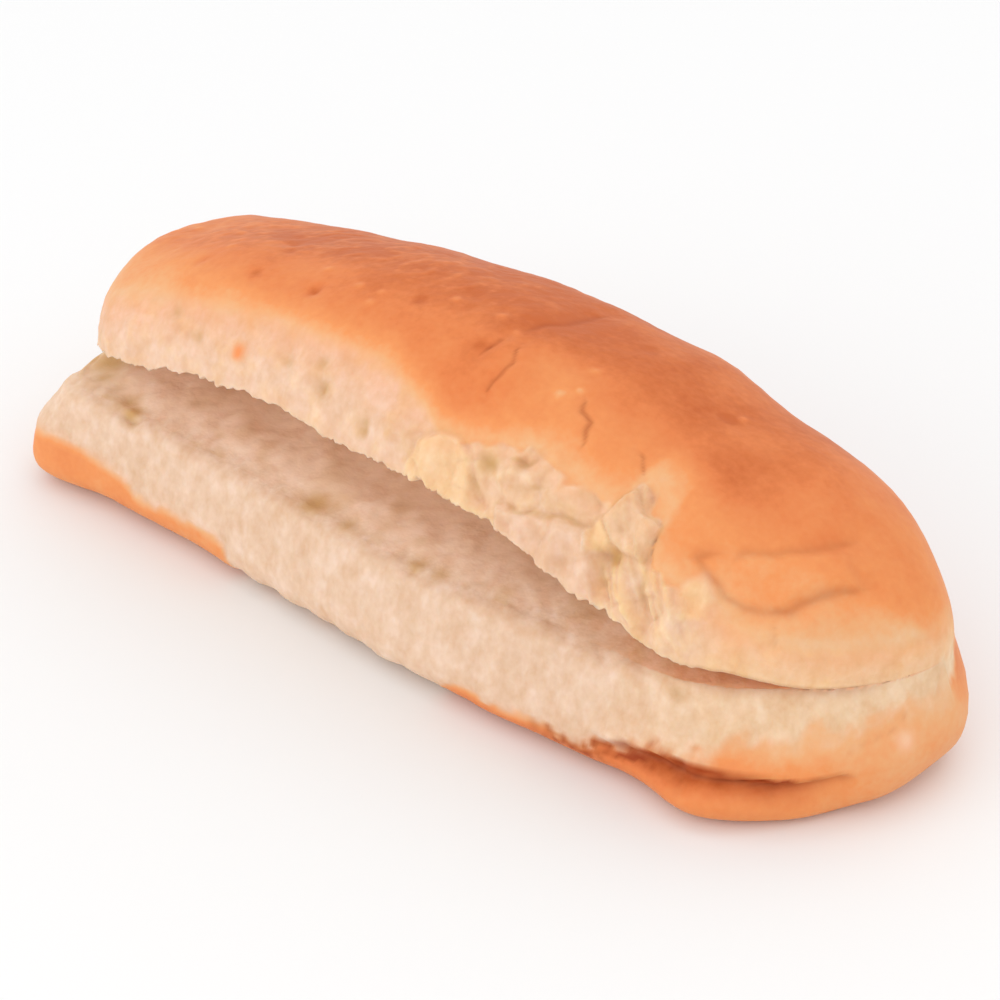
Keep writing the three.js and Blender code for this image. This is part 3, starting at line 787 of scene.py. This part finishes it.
    def lift_flaps(self) -> None:
        """Raise the torn flaps and lobes, bare the crumb on them, and paint shade along their
        foot.
        """
        for flap in FLAPS:
            inside = inside_by(self.flat, flap.corners())
            lift = smooth(-flap.edge, flap.edge, inside)
            self.height += flap.rise * lift * (0.45 + 0.55 * hump(inside, 2.6))
            self.yellow = self.yellow * (1 - lift) + flap.yellow * lift
            # Painted shade along the foot of each flap.
            rim = hump(inside + flap.edge, 0.8 * flap.edge)
            self.crevice_shade = np.maximum(self.crevice_shade, flap.shade * rim * (self.degrees < 176))
            if flap.bare:
                self.torn = np.maximum(self.torn, lift * self.upper)

    def sink_pits(self) -> None:
        """Sink the small hollows and the nicks of the lip, paint shade in them, and paint the
        spots in their own colours.
        """
        # Painted shade in the crumb's hollows, pits, nicks and crevices, with its random dark
        # blotches.
        self.hollow_shade_and_blotch = np.maximum(self.torn * self.blotch_and_valley_shade, self.crevice_shade)
        for pit in PITS:
            centre = self.form.skin(*np.array([[pit.station], [pit.degrees]], float))
            near = hump(np.linalg.norm(self.wavy - centre, axis=1), 0.6 * pit.wide)
            self.height -= pit.deep * near
            self.hollow_shade_and_blotch = np.maximum(self.hollow_shade_and_blotch, pit.dark * near)
            self.tan += pit.tan * near
            self.painted_light_and_pale_spot += pit.painted_light_and_pale_spot * near
        cut, dark = nicked(self.form, self.wavy)
        self.height -= cut
        self.hollow_shade_and_blotch = np.maximum(self.hollow_shade_and_blotch, dark)

    def tuck_in(self) -> None:
        """Tuck the crust in under the torn side near the right end, with painted shadow along the
        tuck and in the gaps under the ragged crumb edge.
        """
        x = self.x
        lower = ~self.upper
        first, last = FOLD.path[0][0], FOLD.path[-1][0]
        line = self.form.traced(FOLD.path)
        away = distance_to_path(self.wavy, line)
        over = self.wavy[:, 2] - np.interp(self.wavy[:, 0], line[:, 0], line[:, 2])
        under = smooth(0.35, -0.25, over) * lower
        tips = smooth(0, 12, x - first + 3) * smooth(0, 8, last + 3 - x)
        self.height += (0.6 * (1 - under) - FOLD.deep * under) * hump(away, FOLD.wide) * tips
        # Painted shadow under the overhanging crumb along the tuck.
        thick = FOLD.line * (1 + 0.6 * smooth(50, 42, x))
        shade = FOLD.dark * smooth(0.9, 0.2, over) * lower * hump(away, thick) * tips
        # The crust is painted browner near the tuck's line, more so below it.
        self.tan += (0.1 + 0.25 * under) * lower * hump(away, 3.0) * tips
        # Painted shade in the gaps under the ragged crumb edge.
        fringe = stretch(SHREDDED, x) * lower
        fringe *= 0.85 + 0.8 * grain(self.base, 1.3, 18.2)
        shred_shade = fringe * hump(self.border + self.wander - 1.0, 1.1)
        self.fold_shade_and_specks = np.maximum(self.fold_shade_and_specks, np.clip(np.maximum(shade, shred_shade), 0, 1))

    def close_seam(self) -> None:
        """Shade the closed seam past the mouth, and calm the relief at lips, ends and base."""
        form, x = self.form, self.x
        # Painted shade under the lip along the closed seam.
        off_seam = np.radians(180 - np.abs(self.degrees)) * LIP_RADIUS
        shade = 0.4 * stretch(CLOSED_SEAM, x) * hump(off_seam, np.where(self.upper, 0.6, 1.5))
        self.fold_shade_and_specks = np.maximum(self.fold_shade_and_specks, shade)
        sunk = self.height * smooth(0, 2.2, off_seam)
        self.height = np.where(self.height < 0, sunk, self.height)
        off_lip = smooth(0, 12, 180 - np.abs(self.degrees))
        off_lip = off_lip + (1 - off_lip) * form.mouth(x)
        low_plan = form.lower_plan.share(x, form.half)
        high_plan = form.upper_plan.share(x, form.half)
        off_ends = smooth(0.1, 0.5, np.minimum(low_plan, high_plan))
        self.height *= off_lip * off_ends * smooth(0.2, 2.5, self.base[:, 2])

    def baked(self) -> Array:
        """How brown the crust is before its spots and folds.

        Returns:
            0 for the palest crust to 1 where it is deep brown.
        """
        x, degrees = self.x, self.degrees
        reach = self.border + 0.5 * self.wander
        soft = np.interp(x, (-70, -40, 0, 12, 30, 46, 56, 72), (11, 7.5, 5.5, 5.5, 6, 6, 6, 8))
        rise = smooth(-0.35, 0.9, reach / soft)
        ridge = smooth(130, 104, degrees) * smooth(-20, 50, degrees)
        ridge *= np.interp(x, (-60, -30, 0, 40, 66), (0.2, 0.3, 0.3, 0.42, 0.25))
        side = np.interp(x, (-60, -30, 8, 20, 50, 66), (0.62, 0.75, 0.72, 0.54, 0.43, 0.32))
        top = side * rise + ridge
        low = np.interp(x, (-70, -30, 20, 44, 56, 66, 72),
                        (0.52, 0.48, 0.66, 0.66, 0.56, 0.38, 0.3))
        low *= smooth(-0.5, 1.0, reach / np.interp(x, (40, 54, 66), (1.5, 4.0, 6.0)))
        back = 0.65 * smooth(-60, -10, degrees)
        crust = np.where(self.upper, top, np.maximum(low, back))
        upper_toast = 0.14 + 0.3 * smooth(-7 + 4 * stretch(UNTOASTED, x), 0.5, reach)
        toast = np.where(self.upper, upper_toast, 0.02 + 0.3 * smooth(-1.5, 0.5, reach))
        return np.clip(crust + (toast - crust) * smooth(1.0, -1.0, reach / 1.5), 0, 1)

    def placed(self) -> Array:
        """Points of the outside with their relief."""
        normal = self.form.normals(self.x, self.degrees)
        return self.base + normal * self.height[:, None]

    def painting(self) -> Paint:
        """What is painted on the outside.

        Returns:
            One array for each painted attribute.
        """
        return {"crumb": self.torn, "fold_shade_and_specks": self.fold_shade_and_specks, "hollow_shade_and_blotch": self.hollow_shade_and_blotch,
                "bake_and_face_shade": np.clip(self.baked() + self.tan, 0, 1), "yellow": self.yellow,
                "painted_light_and_pale_spot": self.painted_light_and_pale_spot}


class Place(Enum):
    """What a column of the skin's grid lies on."""

    OUTSIDE = 0
    LOWER_FACE = 1
    ROOT = 2
    UPPER_FACE = 3


@dataclass
class RollSkin:
    """The roll's outside and slit as one fine closed mesh, with its baking, painted shade and
    painted light on its points.
    """

    form: RollForm = field(default_factory=RollForm)
    stations: int = 400
    sweep: tuple[tuple[float, int], ...] = ((180, 88), (112, 26), (75, 14), (0, 12), (-90, 54),
                                            (-180, 0))
    lower_steps: int = 30
    upper_steps: int = 12
    middle: tuple[float, float] = (-0.79, -1.85)

    def rows(self) -> Array:
        """Stations of the loops, closer together at the ends and along the torn half.

        Returns:
            Stations from the left end to the right end.
        """
        half = self.form.half
        x = np.linspace(-half, half, 4001)
        weight = 1.0 + 0.4 * smooth(-8, 6, x) + 5 * smooth(half - 3, half, np.abs(x))
        total = np.concatenate([[0], np.cumsum((weight[1:] + weight[:-1]) / 2)])
        return np.interp(np.linspace(0, total[-1], self.stations + 1), total, x)

    def columns(self) -> list[tuple[Place, float]]:
        """Places round one loop, in order.

        Returns:
            What each column lies on, with its degrees on the outside or its depth on a face.
        """
        places: list[tuple[Place, float]] = []
        for (start, steps), (stop, _) in zip(self.sweep[:-1], self.sweep[1:]):
            turn = np.linspace(start, stop, steps, endpoint=False)
            places += [(Place.OUTSIDE, float(d)) for d in turn]
        places.append((Place.OUTSIDE, -180.0))
        down = (np.arange(1, self.lower_steps + 1) / self.lower_steps) ** 1.4
        places += [(Place.LOWER_FACE, float(d)) for d in down]
        places.append((Place.ROOT, 1.0))
        back = (np.arange(self.upper_steps, 0, -1) / self.upper_steps) ** 1.3
        places += [(Place.UPPER_FACE, float(d)) for d in back]
        return places

    def rag(self, x: Array, upper: Array | bool) -> Array:
        """Unevenness of the torn lips along the roll.

        Args:
            x: stations.
            upper: whether each place belongs to the upper lip.

        Returns:
            How far the lip is lifted at each station, in millimetres.
        """
        seed = np.where(upper, 3.1, 17.7)
        line = np.stack([x, np.zeros_like(x), np.zeros_like(x) + seed], -1)
        uneven = 0.4 * grain(line, (4.5, 1, 1), 0.4) + 0.3 * grain(line, (1.7, 1, 1), 2.9)
        torn_more = smooth(-0.6, 0.4, grain(line, (6.5, 1, 1), 7.7))
        uneven += 0.75 * grain(line, (0.95, 1, 1), 5.2) * torn_more
        uneven += 0.45 * grain(line, (0.55, 1, 1), 9.4)
        fade = smooth(0.1, 0.5, self.form.upper_plan.share(x, self.form.half))
        return uneven * fade * np.where(upper, np.maximum(self.form.mouth(x), 0.25), 0.3)

    def outside(self, x: Array, degrees: Array) -> tuple[Array, Paint]:
        """Points of the outside with their relief, and the painting that goes with them.

        Args:
            x: stations.
            degrees: places round the section.

        Returns:
            Points in millimetres, and one array for each painted attribute.
        """
        side = Outside(self.form, x, degrees, self.rag(x, degrees >= 0))
        side.crumple()
        side.press_creases()
        side.lift_flaps()
        side.sink_pits()
        side.tuck_in()
        side.close_seam()
        return side.placed(), side.painting()

    def cut_face(self, x: Array, depth: Array, upper: bool) -> tuple[Array, Paint]:
        """Points of one cut face with fine crumb relief, and their painting, with painted light
        and painted shade.

        Args:
            x: stations.
            depth: 0 at the lip, 1 at the root.
            upper: whether it is the upper face.

        Returns:
            Points in millimetres, and one array for each painted attribute.
        """
        form = self.form
        points = form.face(x, depth, upper, self.rag(x, upper))
        sign = 1.0 if upper else -1.0
        room = form.mouth(x) * smooth(0, 0.06, depth) * smooth(1, 0.8, depth)
        room *= smooth(0.1, 0.5, form.upper_plan.share(x, form.half))
        wide = grain(points, 4.6, 11.5)
        patch = 0.5 * wide + 0.4 * grain(points, 2.0, 3.3) + 0.3 * grain(points, 1.0, 6.6)
        points[:, 2] += sign * 0.55 * (patch + 0.15) * room
        # Painted shade deeper in the slit, fading out towards the left end, and darker olive
        # patches near the lower lip.
        hollow_shade_and_blotch = 0.1 * smooth(0, 0.4, depth) * smooth(-40, -10, x)
        if not upper:
            hollow_shade_and_blotch += 0.35 * smooth(0.1, 0.5, -wide) * smooth(0.5, 0.05, depth)
            wavy = points + 0.3 * grain(points, 1.5, 2.2)[:, None]
            cut, dark = nicked(form, wavy)
            points[:, 2] -= cut * room
            hollow_shade_and_blotch = np.maximum(hollow_shade_and_blotch, dark)
        # Painted light: the cut face is painted paler, most deeper in and on its left half, less
        # in its mottles and not at the lip.
        mottle = smooth(-0.1, 0.5, grain(points, 2.6, 21.3))
        light = (0.6 + 0.4 * smooth(0.15, 0.6, depth)) * (1 - 0.9 * smooth(0, 40, x))
        light *= (1 - 0.5 * mottle) * smooth(0, 0.1, depth)
        # On the cut face the baking value is random mottle plus painted shade towards the right
        # end, where the upper lip shades it; the paleness is the painted light.
        return points, {"crumb": np.ones_like(x), "fold_shade_and_specks": np.zeros_like(x), "hollow_shade_and_blotch": hollow_shade_and_blotch,
                        "bake_and_face_shade": 0.1 * mottle + 0.4 * smooth(24, 54, x),
                        "yellow": 0.3 * smooth(20, 60, x), "painted_light_and_pale_spot": light}

    def root(self, x: Array, depth: Array) -> tuple[Array, Paint]:
        """Points of the slit's root, a little behind where the two faces end.

        Args:
            x: stations.
            depth: 1 for each station.

        Returns:
            Points in millimetres, and one array for each painted attribute.
        """
        low, paint = self.cut_face(x, depth, False)
        high, _ = self.cut_face(x, depth, True)
        points = (low + high) / 2
        points[:, 1] += 0.35 * np.linalg.norm(high - low, axis=1)
        return points, paint

    def worked_out(self) -> tuple[Array, Paint]:
        """Work out the whole grid.

        Returns:
            Points in millimetres by row and column, and one grid for each painted attribute.
        """
        rows, columns = self.rows(), self.columns()
        points = np.zeros((len(rows), len(columns), 3))
        painted = {name: np.zeros(points.shape[:2]) for name in PAINTED}
        for place in Place:
            picked = [k for k, (kind, _) in enumerate(columns) if kind is place]
            values = np.array([columns[k][1] for k in picked])
            x, value = [a.ravel() for a in np.meshgrid(rows, values, indexing="ij")]
            if place is Place.OUTSIDE:
                found, paint = self.outside(x, value)
            elif place is Place.ROOT:
                found, paint = self.root(x, value)
            else:
                found, paint = self.cut_face(x, value, place is Place.UPPER_FACE)
            points[:, picked] = found.reshape(len(rows), len(picked), 3)
            for name in PAINTED:
                painted[name][:, picked] = paint[name].reshape(len(rows), len(picked))
        points[..., :2] -= self.middle
        return points, painted

    def build(self) -> bpy.types.Object:
        """Shape a grid into the closed skin.

        Returns:
            The roll's object, standing where the CAD roll stands.
        """
        points, painted = self.worked_out()
        last_row, wide = points.shape[0] - 1, points.shape[1]
        bm = bmesh.new()
        bmesh.ops.create_grid(bm, x_segments=wide, y_segments=last_row, size=1.0)
        layers = {name: bm.verts.layers.float.new(name) for name in PAINTED}
        for vert in bm.verts:
            column = round((vert.co.x + 1) / 2 * wide) % wide
            row = round((vert.co.y + 1) / 2 * last_row)
            vert.co = Vector(points[row, column]) * MM
            for name in PAINTED:
                vert[layers[name]] = painted[name][row, column]
        bmesh.ops.remove_doubles(bm, verts=bm.verts, dist=WELD)
        bmesh.ops.recalc_face_normals(bm, faces=bm.faces)
        for face in bm.faces:
            face.smooth = True
        mesh = bpy.data.meshes.new("roll_skin")
        bm.to_mesh(mesh)
        bm.free()
        roll = bpy.data.objects.new("roll_skin", mesh)
        bpy.context.collection.objects.link(roll)
        return roll


def linear(level: int) -> float:
    """Linear light of a display level from 0 to 255."""
    share = level / 255
    return share / 12.92 if share <= 0.04045 else ((share + 0.055) / 1.055) ** 2.4


def srgb(red: int, green: int, blue: int) -> Rgba:
    """Linear colour from 0 to 255 display levels."""
    return (linear(red), linear(green), linear(blue), 1.0)


class Sum(Enum):
    """How two values are put together."""

    PLUS = "ADD"
    MINUS = "SUBTRACT"
    TIMES = "MULTIPLY"


@dataclass
class Wiring:
    """Short ways of adding shader nodes to one material."""

    tree: bpy.types.NodeTree

    def feed(self, socket: Socket, value: Socket | Rgba | float) -> None:
        """Give a socket a value of its own, or link another socket to it.

        Args:
            socket: the input.
            value: a number, a colour, or the output to link.
        """
        if isinstance(value, (int, float, tuple)):
            socket.default_value = value
        else:
            self.tree.links.new(value, socket)

    def painted(self, name: str) -> Socket:
        """Value that is painted on the skin's points.

        Args:
            name: the painted attribute.

        Returns:
            The output that reads it.
        """
        node = self.tree.nodes.new("ShaderNodeAttribute")
        node.attribute_name = name
        return node.outputs["Fac"]

    def speckle(self, place: Socket, scale: float, detail: float) -> Socket:
        """Noise between 0 and 1.

        Args:
            place: the coordinates that it reads.
            scale: how fine it is, in patches for each metre.
            detail: how many finer layers it has.

        Returns:
            The noise's output.
        """
        node = self.tree.nodes.new("ShaderNodeTexNoise")
        node.inputs["Scale"].default_value = scale
        node.inputs["Detail"].default_value = detail
        self.feed(node.inputs["Vector"], place)
        return node.outputs["Fac"]

    def sums(self, kind: Sum, a: Socket | float, b: Socket | float,
             clamp: bool = False) -> Socket:
        """Sum, difference or product of two values.

        Args:
            kind: how they are put together.
            a: first value.
            b: second value.
            clamp: whether the result is kept between 0 and 1.

        Returns:
            The result's output.
        """
        node = self.tree.nodes.new("ShaderNodeMath")
        node.operation = kind.value
        node.use_clamp = clamp
        self.feed(node.inputs[0], a)
        self.feed(node.inputs[1], b)
        return node.outputs[0]

    def ramp(self, value: Socket, stops: Stops) -> Socket:
        """Colour read off a ramp.

        Args:
            value: where on the ramp it is read.
            stops: places on the ramp with their colours.

        Returns:
            The colour's output.
        """
        node = self.tree.nodes.new("ShaderNodeValToRGB")
        elements = node.color_ramp.elements
        for i, (at, colour) in enumerate(stops):
            element = elements[i] if i < 2 else elements.new(at)
            element.position = at
            element.color = srgb(*colour)
        self.feed(node.inputs["Fac"], value)
        return node.outputs["Color"]

    def mix(self, share: Socket, a: Socket, b: Socket | Rgba) -> Socket:
        """Colour between two colours.

        Args:
            share: 0 for the first colour, 1 for the second.
            a: first colour.
            b: second colour.

        Returns:
            The mixed colour's output.
        """
        node = self.tree.nodes.new("ShaderNodeMix")
        node.data_type = "RGBA"
        for name, value in (("Factor", share), ("A", a), ("B", b)):
            self.feed(next(s for s in node.inputs if s.name == name and s.enabled), value)
        return next(s for s in node.outputs if s.enabled)


@dataclass(frozen=True)
class BreadFinish:
    """Baked crust and torn crumb in one procedural material."""

    crust: Stops = ((0.0, (232, 190, 148)), (0.2, (233, 174, 123)), (0.45, (234, 151, 92)),
                    (0.75, (224, 129, 74)), (1.0, (200, 102, 50)))
    crumb: Stops = ((0.3, (217, 179, 147)), (0.5, (227, 195, 168)), (0.68, (236, 209, 188)))
    yellow: Stops = ((0.3, (231, 189, 138)), (0.5, (240, 206, 157)), (0.7, (247, 219, 174)))
    # Toasted crumb; also the colour of the painted shade on the right part of the cut face.
    toast: Colour = (236, 152, 98)
    # Colour that the painted light lifts the cut face towards; the paler spot on the lower right
    # crust takes it too.
    inside: Colour = (255, 226, 203)
    # Colour of the painted shade in the crumb's hollows, also of its random dark blotches.
    hollow_shade_and_blotch: Colour = (200, 155, 96)
    # Colour of the painted shade in creases, splits and folds, also of the dark specks.
    fold_shade_and_specks: Colour = (152, 54, 12)
    bump_strength: float = 0.38
    bump_distance: float = 0.0007

    def build(self) -> bpy.types.Material:
        """Make the material's nodes.

        Returns:
            The finished material.
        """
        material = bpy.data.materials.new("baked_bread")
        material.use_nodes = True
        tree = material.node_tree
        wiring = Wiring(tree)
        shader = tree.nodes["Principled BSDF"]
        where = tree.nodes.new("ShaderNodeTexCoord").outputs["Object"]
        stretched = tree.nodes.new("ShaderNodeMapping")
        stretched.inputs["Scale"].default_value = (1.0, 1.0, 0.8)
        wiring.feed(stretched.inputs["Vector"], where)
        fluff = stretched.outputs["Vector"]
        crumb, painted_light_and_pale_spot = wiring.painted("crumb"), wiring.painted("painted_light_and_pale_spot")
        colour = self.colour(wiring, where, fluff, crumb, painted_light_and_pale_spot)
        wiring.feed(shader.inputs["Base Color"], colour)
        rough = wiring.sums(Sum.PLUS, wiring.sums(Sum.TIMES, crumb, 0.35), 0.5)
        wiring.feed(shader.inputs["Roughness"], rough)
        shader.inputs["Specular IOR Level"].default_value = 0.15
        shader.inputs["Subsurface Weight"].default_value = 0.3
        shader.inputs["Subsurface Radius"].default_value = (1.0, 0.6, 0.35)
        shader.inputs["Subsurface Scale"].default_value = 0.003
        bump = tree.nodes.new("ShaderNodeBump")
        bump.inputs["Strength"].default_value = self.bump_strength
        bump.inputs["Distance"].default_value = self.bump_distance
        wiring.feed(bump.inputs["Height"], self.grit(wiring, where, fluff, crumb, painted_light_and_pale_spot))
        wiring.feed(shader.inputs["Normal"], bump.outputs["Normal"])
        return material

    def colour(self, wiring: Wiring, where: Socket, fluff: Socket, crumb: Socket,
               painted_light_and_pale_spot: Socket) -> Socket:
        """Colour of crust and crumb, with painted shade in their hollows, creases and folds and
        painted light on the cut face.

        Args:
            wiring: the material's wiring.
            where: plain coordinates.
            fluff: coordinates stretched along the height.
            crumb: how much of the crumb shows.
            painted_light_and_pale_spot: painted light on the cut face, and how much paler the
                spot on the lower right crust is.

        Returns:
            The colour's output.
        """
        sums, speckle = wiring.sums, wiring.speckle
        bake_and_face_shade, hollow_shade_and_blotch = wiring.painted("bake_and_face_shade"), wiring.painted("hollow_shade_and_blotch")
        blotch = sums(Sum.TIMES, sums(Sum.MINUS, speckle(where, 120, 4), 0.5), 0.5)
        fine = sums(Sum.TIMES, sums(Sum.MINUS, speckle(where, 900, 3), 0.5), 0.22)
        brown = sums(Sum.PLUS, bake_and_face_shade, sums(Sum.PLUS, blotch, fine), True)
        patch = sums(Sum.PLUS, sums(Sum.TIMES, speckle(fluff, 300, 3), 0.6),
                     sums(Sum.TIMES, speckle(fluff, 800, 2), 0.4))
        crumb_colour = wiring.mix(wiring.painted("yellow"), wiring.ramp(patch, self.crumb),
                                  wiring.ramp(patch, self.yellow))
        # Crumb beside the crust is toasted; on the cut face the same mix paints shade towards the
        # right end.
        crumb_colour = wiring.mix(bake_and_face_shade, crumb_colour, srgb(*self.toast))
        colour = wiring.mix(crumb, wiring.ramp(brown, self.crust), crumb_colour)
        # Painted light on the cut face, and the paler spot on the lower right crust.
        colour = wiring.mix(painted_light_and_pale_spot, colour, srgb(*self.inside))
        # Painted shade in the crumb's hollows, pits, nicks and crevices, and its random dark
        # blotches.
        colour = wiring.mix(hollow_shade_and_blotch, colour, srgb(*self.hollow_shade_and_blotch))
        # Painted shade along creases, splits, the tucked-in crust and the seam, and the dark
        # specks of the lower right crust.
        fold_shade_and_specks = sums(Sum.TIMES, wiring.painted("fold_shade_and_specks"), 0.85)
        return wiring.mix(fold_shade_and_specks, colour, srgb(*self.fold_shade_and_specks))

    @staticmethod
    def grit(wiring: Wiring, where: Socket, fluff: Socket, crumb: Socket, painted_light_and_pale_spot: Socket) -> Socket:
        """Fine unevenness, strongest on the torn crumb.

        Args:
            wiring: the material's wiring.
            where: plain coordinates.
            fluff: coordinates stretched along the height.
            crumb: how much of the crumb shows.
            painted_light_and_pale_spot: painted light on the cut face and the paler spot on the
                lower right crust, where the grit is also weaker.

        Returns:
            The height's output.
        """
        sums = wiring.sums
        grains = sums(Sum.PLUS, sums(Sum.TIMES, wiring.speckle(fluff, 600, 2), 0.8),
                      sums(Sum.TIMES, wiring.speckle(where, 1500, 2), 0.2))
        deep = sums(Sum.MINUS, sums(Sum.PLUS, sums(Sum.TIMES, crumb, 0.5), 0.4),
                    sums(Sum.TIMES, painted_light_and_pale_spot, 0.45))
        return sums(Sum.TIMES, grains, deep)


@dataclass(frozen=True)
class Lamp:
    """A square soft lamp that shines at the middle of the floor; metres and watts."""

    name: str
    place: tuple[float, float, float]
    size: float
    power: float

    def build(self) -> bpy.types.Object:
        """Hang the lamp.

        Returns:
            The lamp's object.
        """
        data = bpy.data.lights.new(self.name, "AREA")
        data.size = self.size
        data.energy = self.power
        lamp = bpy.data.objects.new(self.name, data)
        lamp.location = self.place
        lamp.rotation_euler = Vector(self.place).to_track_quat("Z", "Y").to_euler()
        bpy.context.collection.objects.link(lamp)
        return lamp


@dataclass
class Studio:
    """Pale floor, soft light and the camera, in metres."""

    azimuth: float = 42.33
    elevation: float = 32.95
    distance: float = 0.4057
    focal_pixels: float = 2948.0
    picture_pixels: float = 1000.0
    sensor: float = 36.0
    target: tuple[float, float, float] = (0.00695, -0.00628, 0.0207)
    floor_half: float = 4.0
    sky: float = 0.92
    lamps: tuple[Lamp, ...] = (Lamp("key", (0.45, -0.75, 0.85), 0.8, 1.5),
                               Lamp("fill", (-0.45, -0.95, 0.32), 0.8, 2.2),
                               Lamp("top", (0.1, 0.45, 1.1), 1.0, 1.6))

    def camera(self) -> bpy.types.Object:
        """Place the camera and make it the scene's own.

        Returns:
            The camera's object.
        """
        a, e = math.radians(self.azimuth), math.radians(self.elevation)
        back = Vector((math.sin(a) * math.cos(e), -math.cos(a) * math.cos(e), math.sin(e)))
        right = Vector((math.cos(a), math.sin(a), 0))
        up = back.cross(right)
        data = bpy.data.cameras.new("camera")
        data.sensor_width = self.sensor
        data.lens = self.sensor * self.focal_pixels / self.picture_pixels
        data.clip_start = 0.01
        camera = bpy.data.objects.new("camera", data)
        turn = Matrix((right, up, back)).transposed().to_4x4()
        place = Vector(self.target) + back * self.distance
        camera.matrix_world = Matrix.Translation(place) @ turn
        bpy.context.collection.objects.link(camera)
        bpy.context.scene.camera = camera
        return camera

    def floor(self) -> bpy.types.Object:
        """Lay a wide plain floor.

        Returns:
            The floor's object.
        """
        bm = bmesh.new()
        bmesh.ops.create_grid(bm, x_segments=1, y_segments=1, size=self.floor_half)
        mesh = bpy.data.meshes.new("floor")
        bm.to_mesh(mesh)
        bm.free()
        floor = bpy.data.objects.new("floor", mesh)
        bpy.context.collection.objects.link(floor)
        material = bpy.data.materials.new("pale_floor")
        material.use_nodes = True
        shader = material.node_tree.nodes["Principled BSDF"]
        shader.inputs["Base Color"].default_value = (0.9, 0.9, 0.9, 1)
        shader.inputs["Roughness"].default_value = 0.9
        mesh.materials.append(material)
        return floor

    def light(self) -> None:
        """Light the roll softly from all round, with more light from the lamps."""
        scene = bpy.context.scene
        scene.view_settings.view_transform = "Standard"
        world = bpy.data.worlds.new("studio")
        world.use_nodes = True
        world.node_tree.nodes["Background"].inputs["Color"].default_value = (1, 1, 1, 1)
        world.node_tree.nodes["Background"].inputs["Strength"].default_value = self.sky
        scene.world = world
        for lamp in self.lamps:
            lamp.build()


def main() -> None:
    """Build the roll and the studio in order."""
    logging.basicConfig(level=logging.INFO, format="%(message)s")
    studio = Studio()
    studio.camera()
    studio.floor()
    studio.light()
    LOG.info("studio ready")
    roll = RollSkin().build()
    roll.data.materials.append(BreadFinish().build())
    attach(roll, "root")
    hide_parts("bread_roll")
    LOG.info("roll_skin: %d faces", len(roll.data.polygons))


if __name__ == "__main__":
    main()
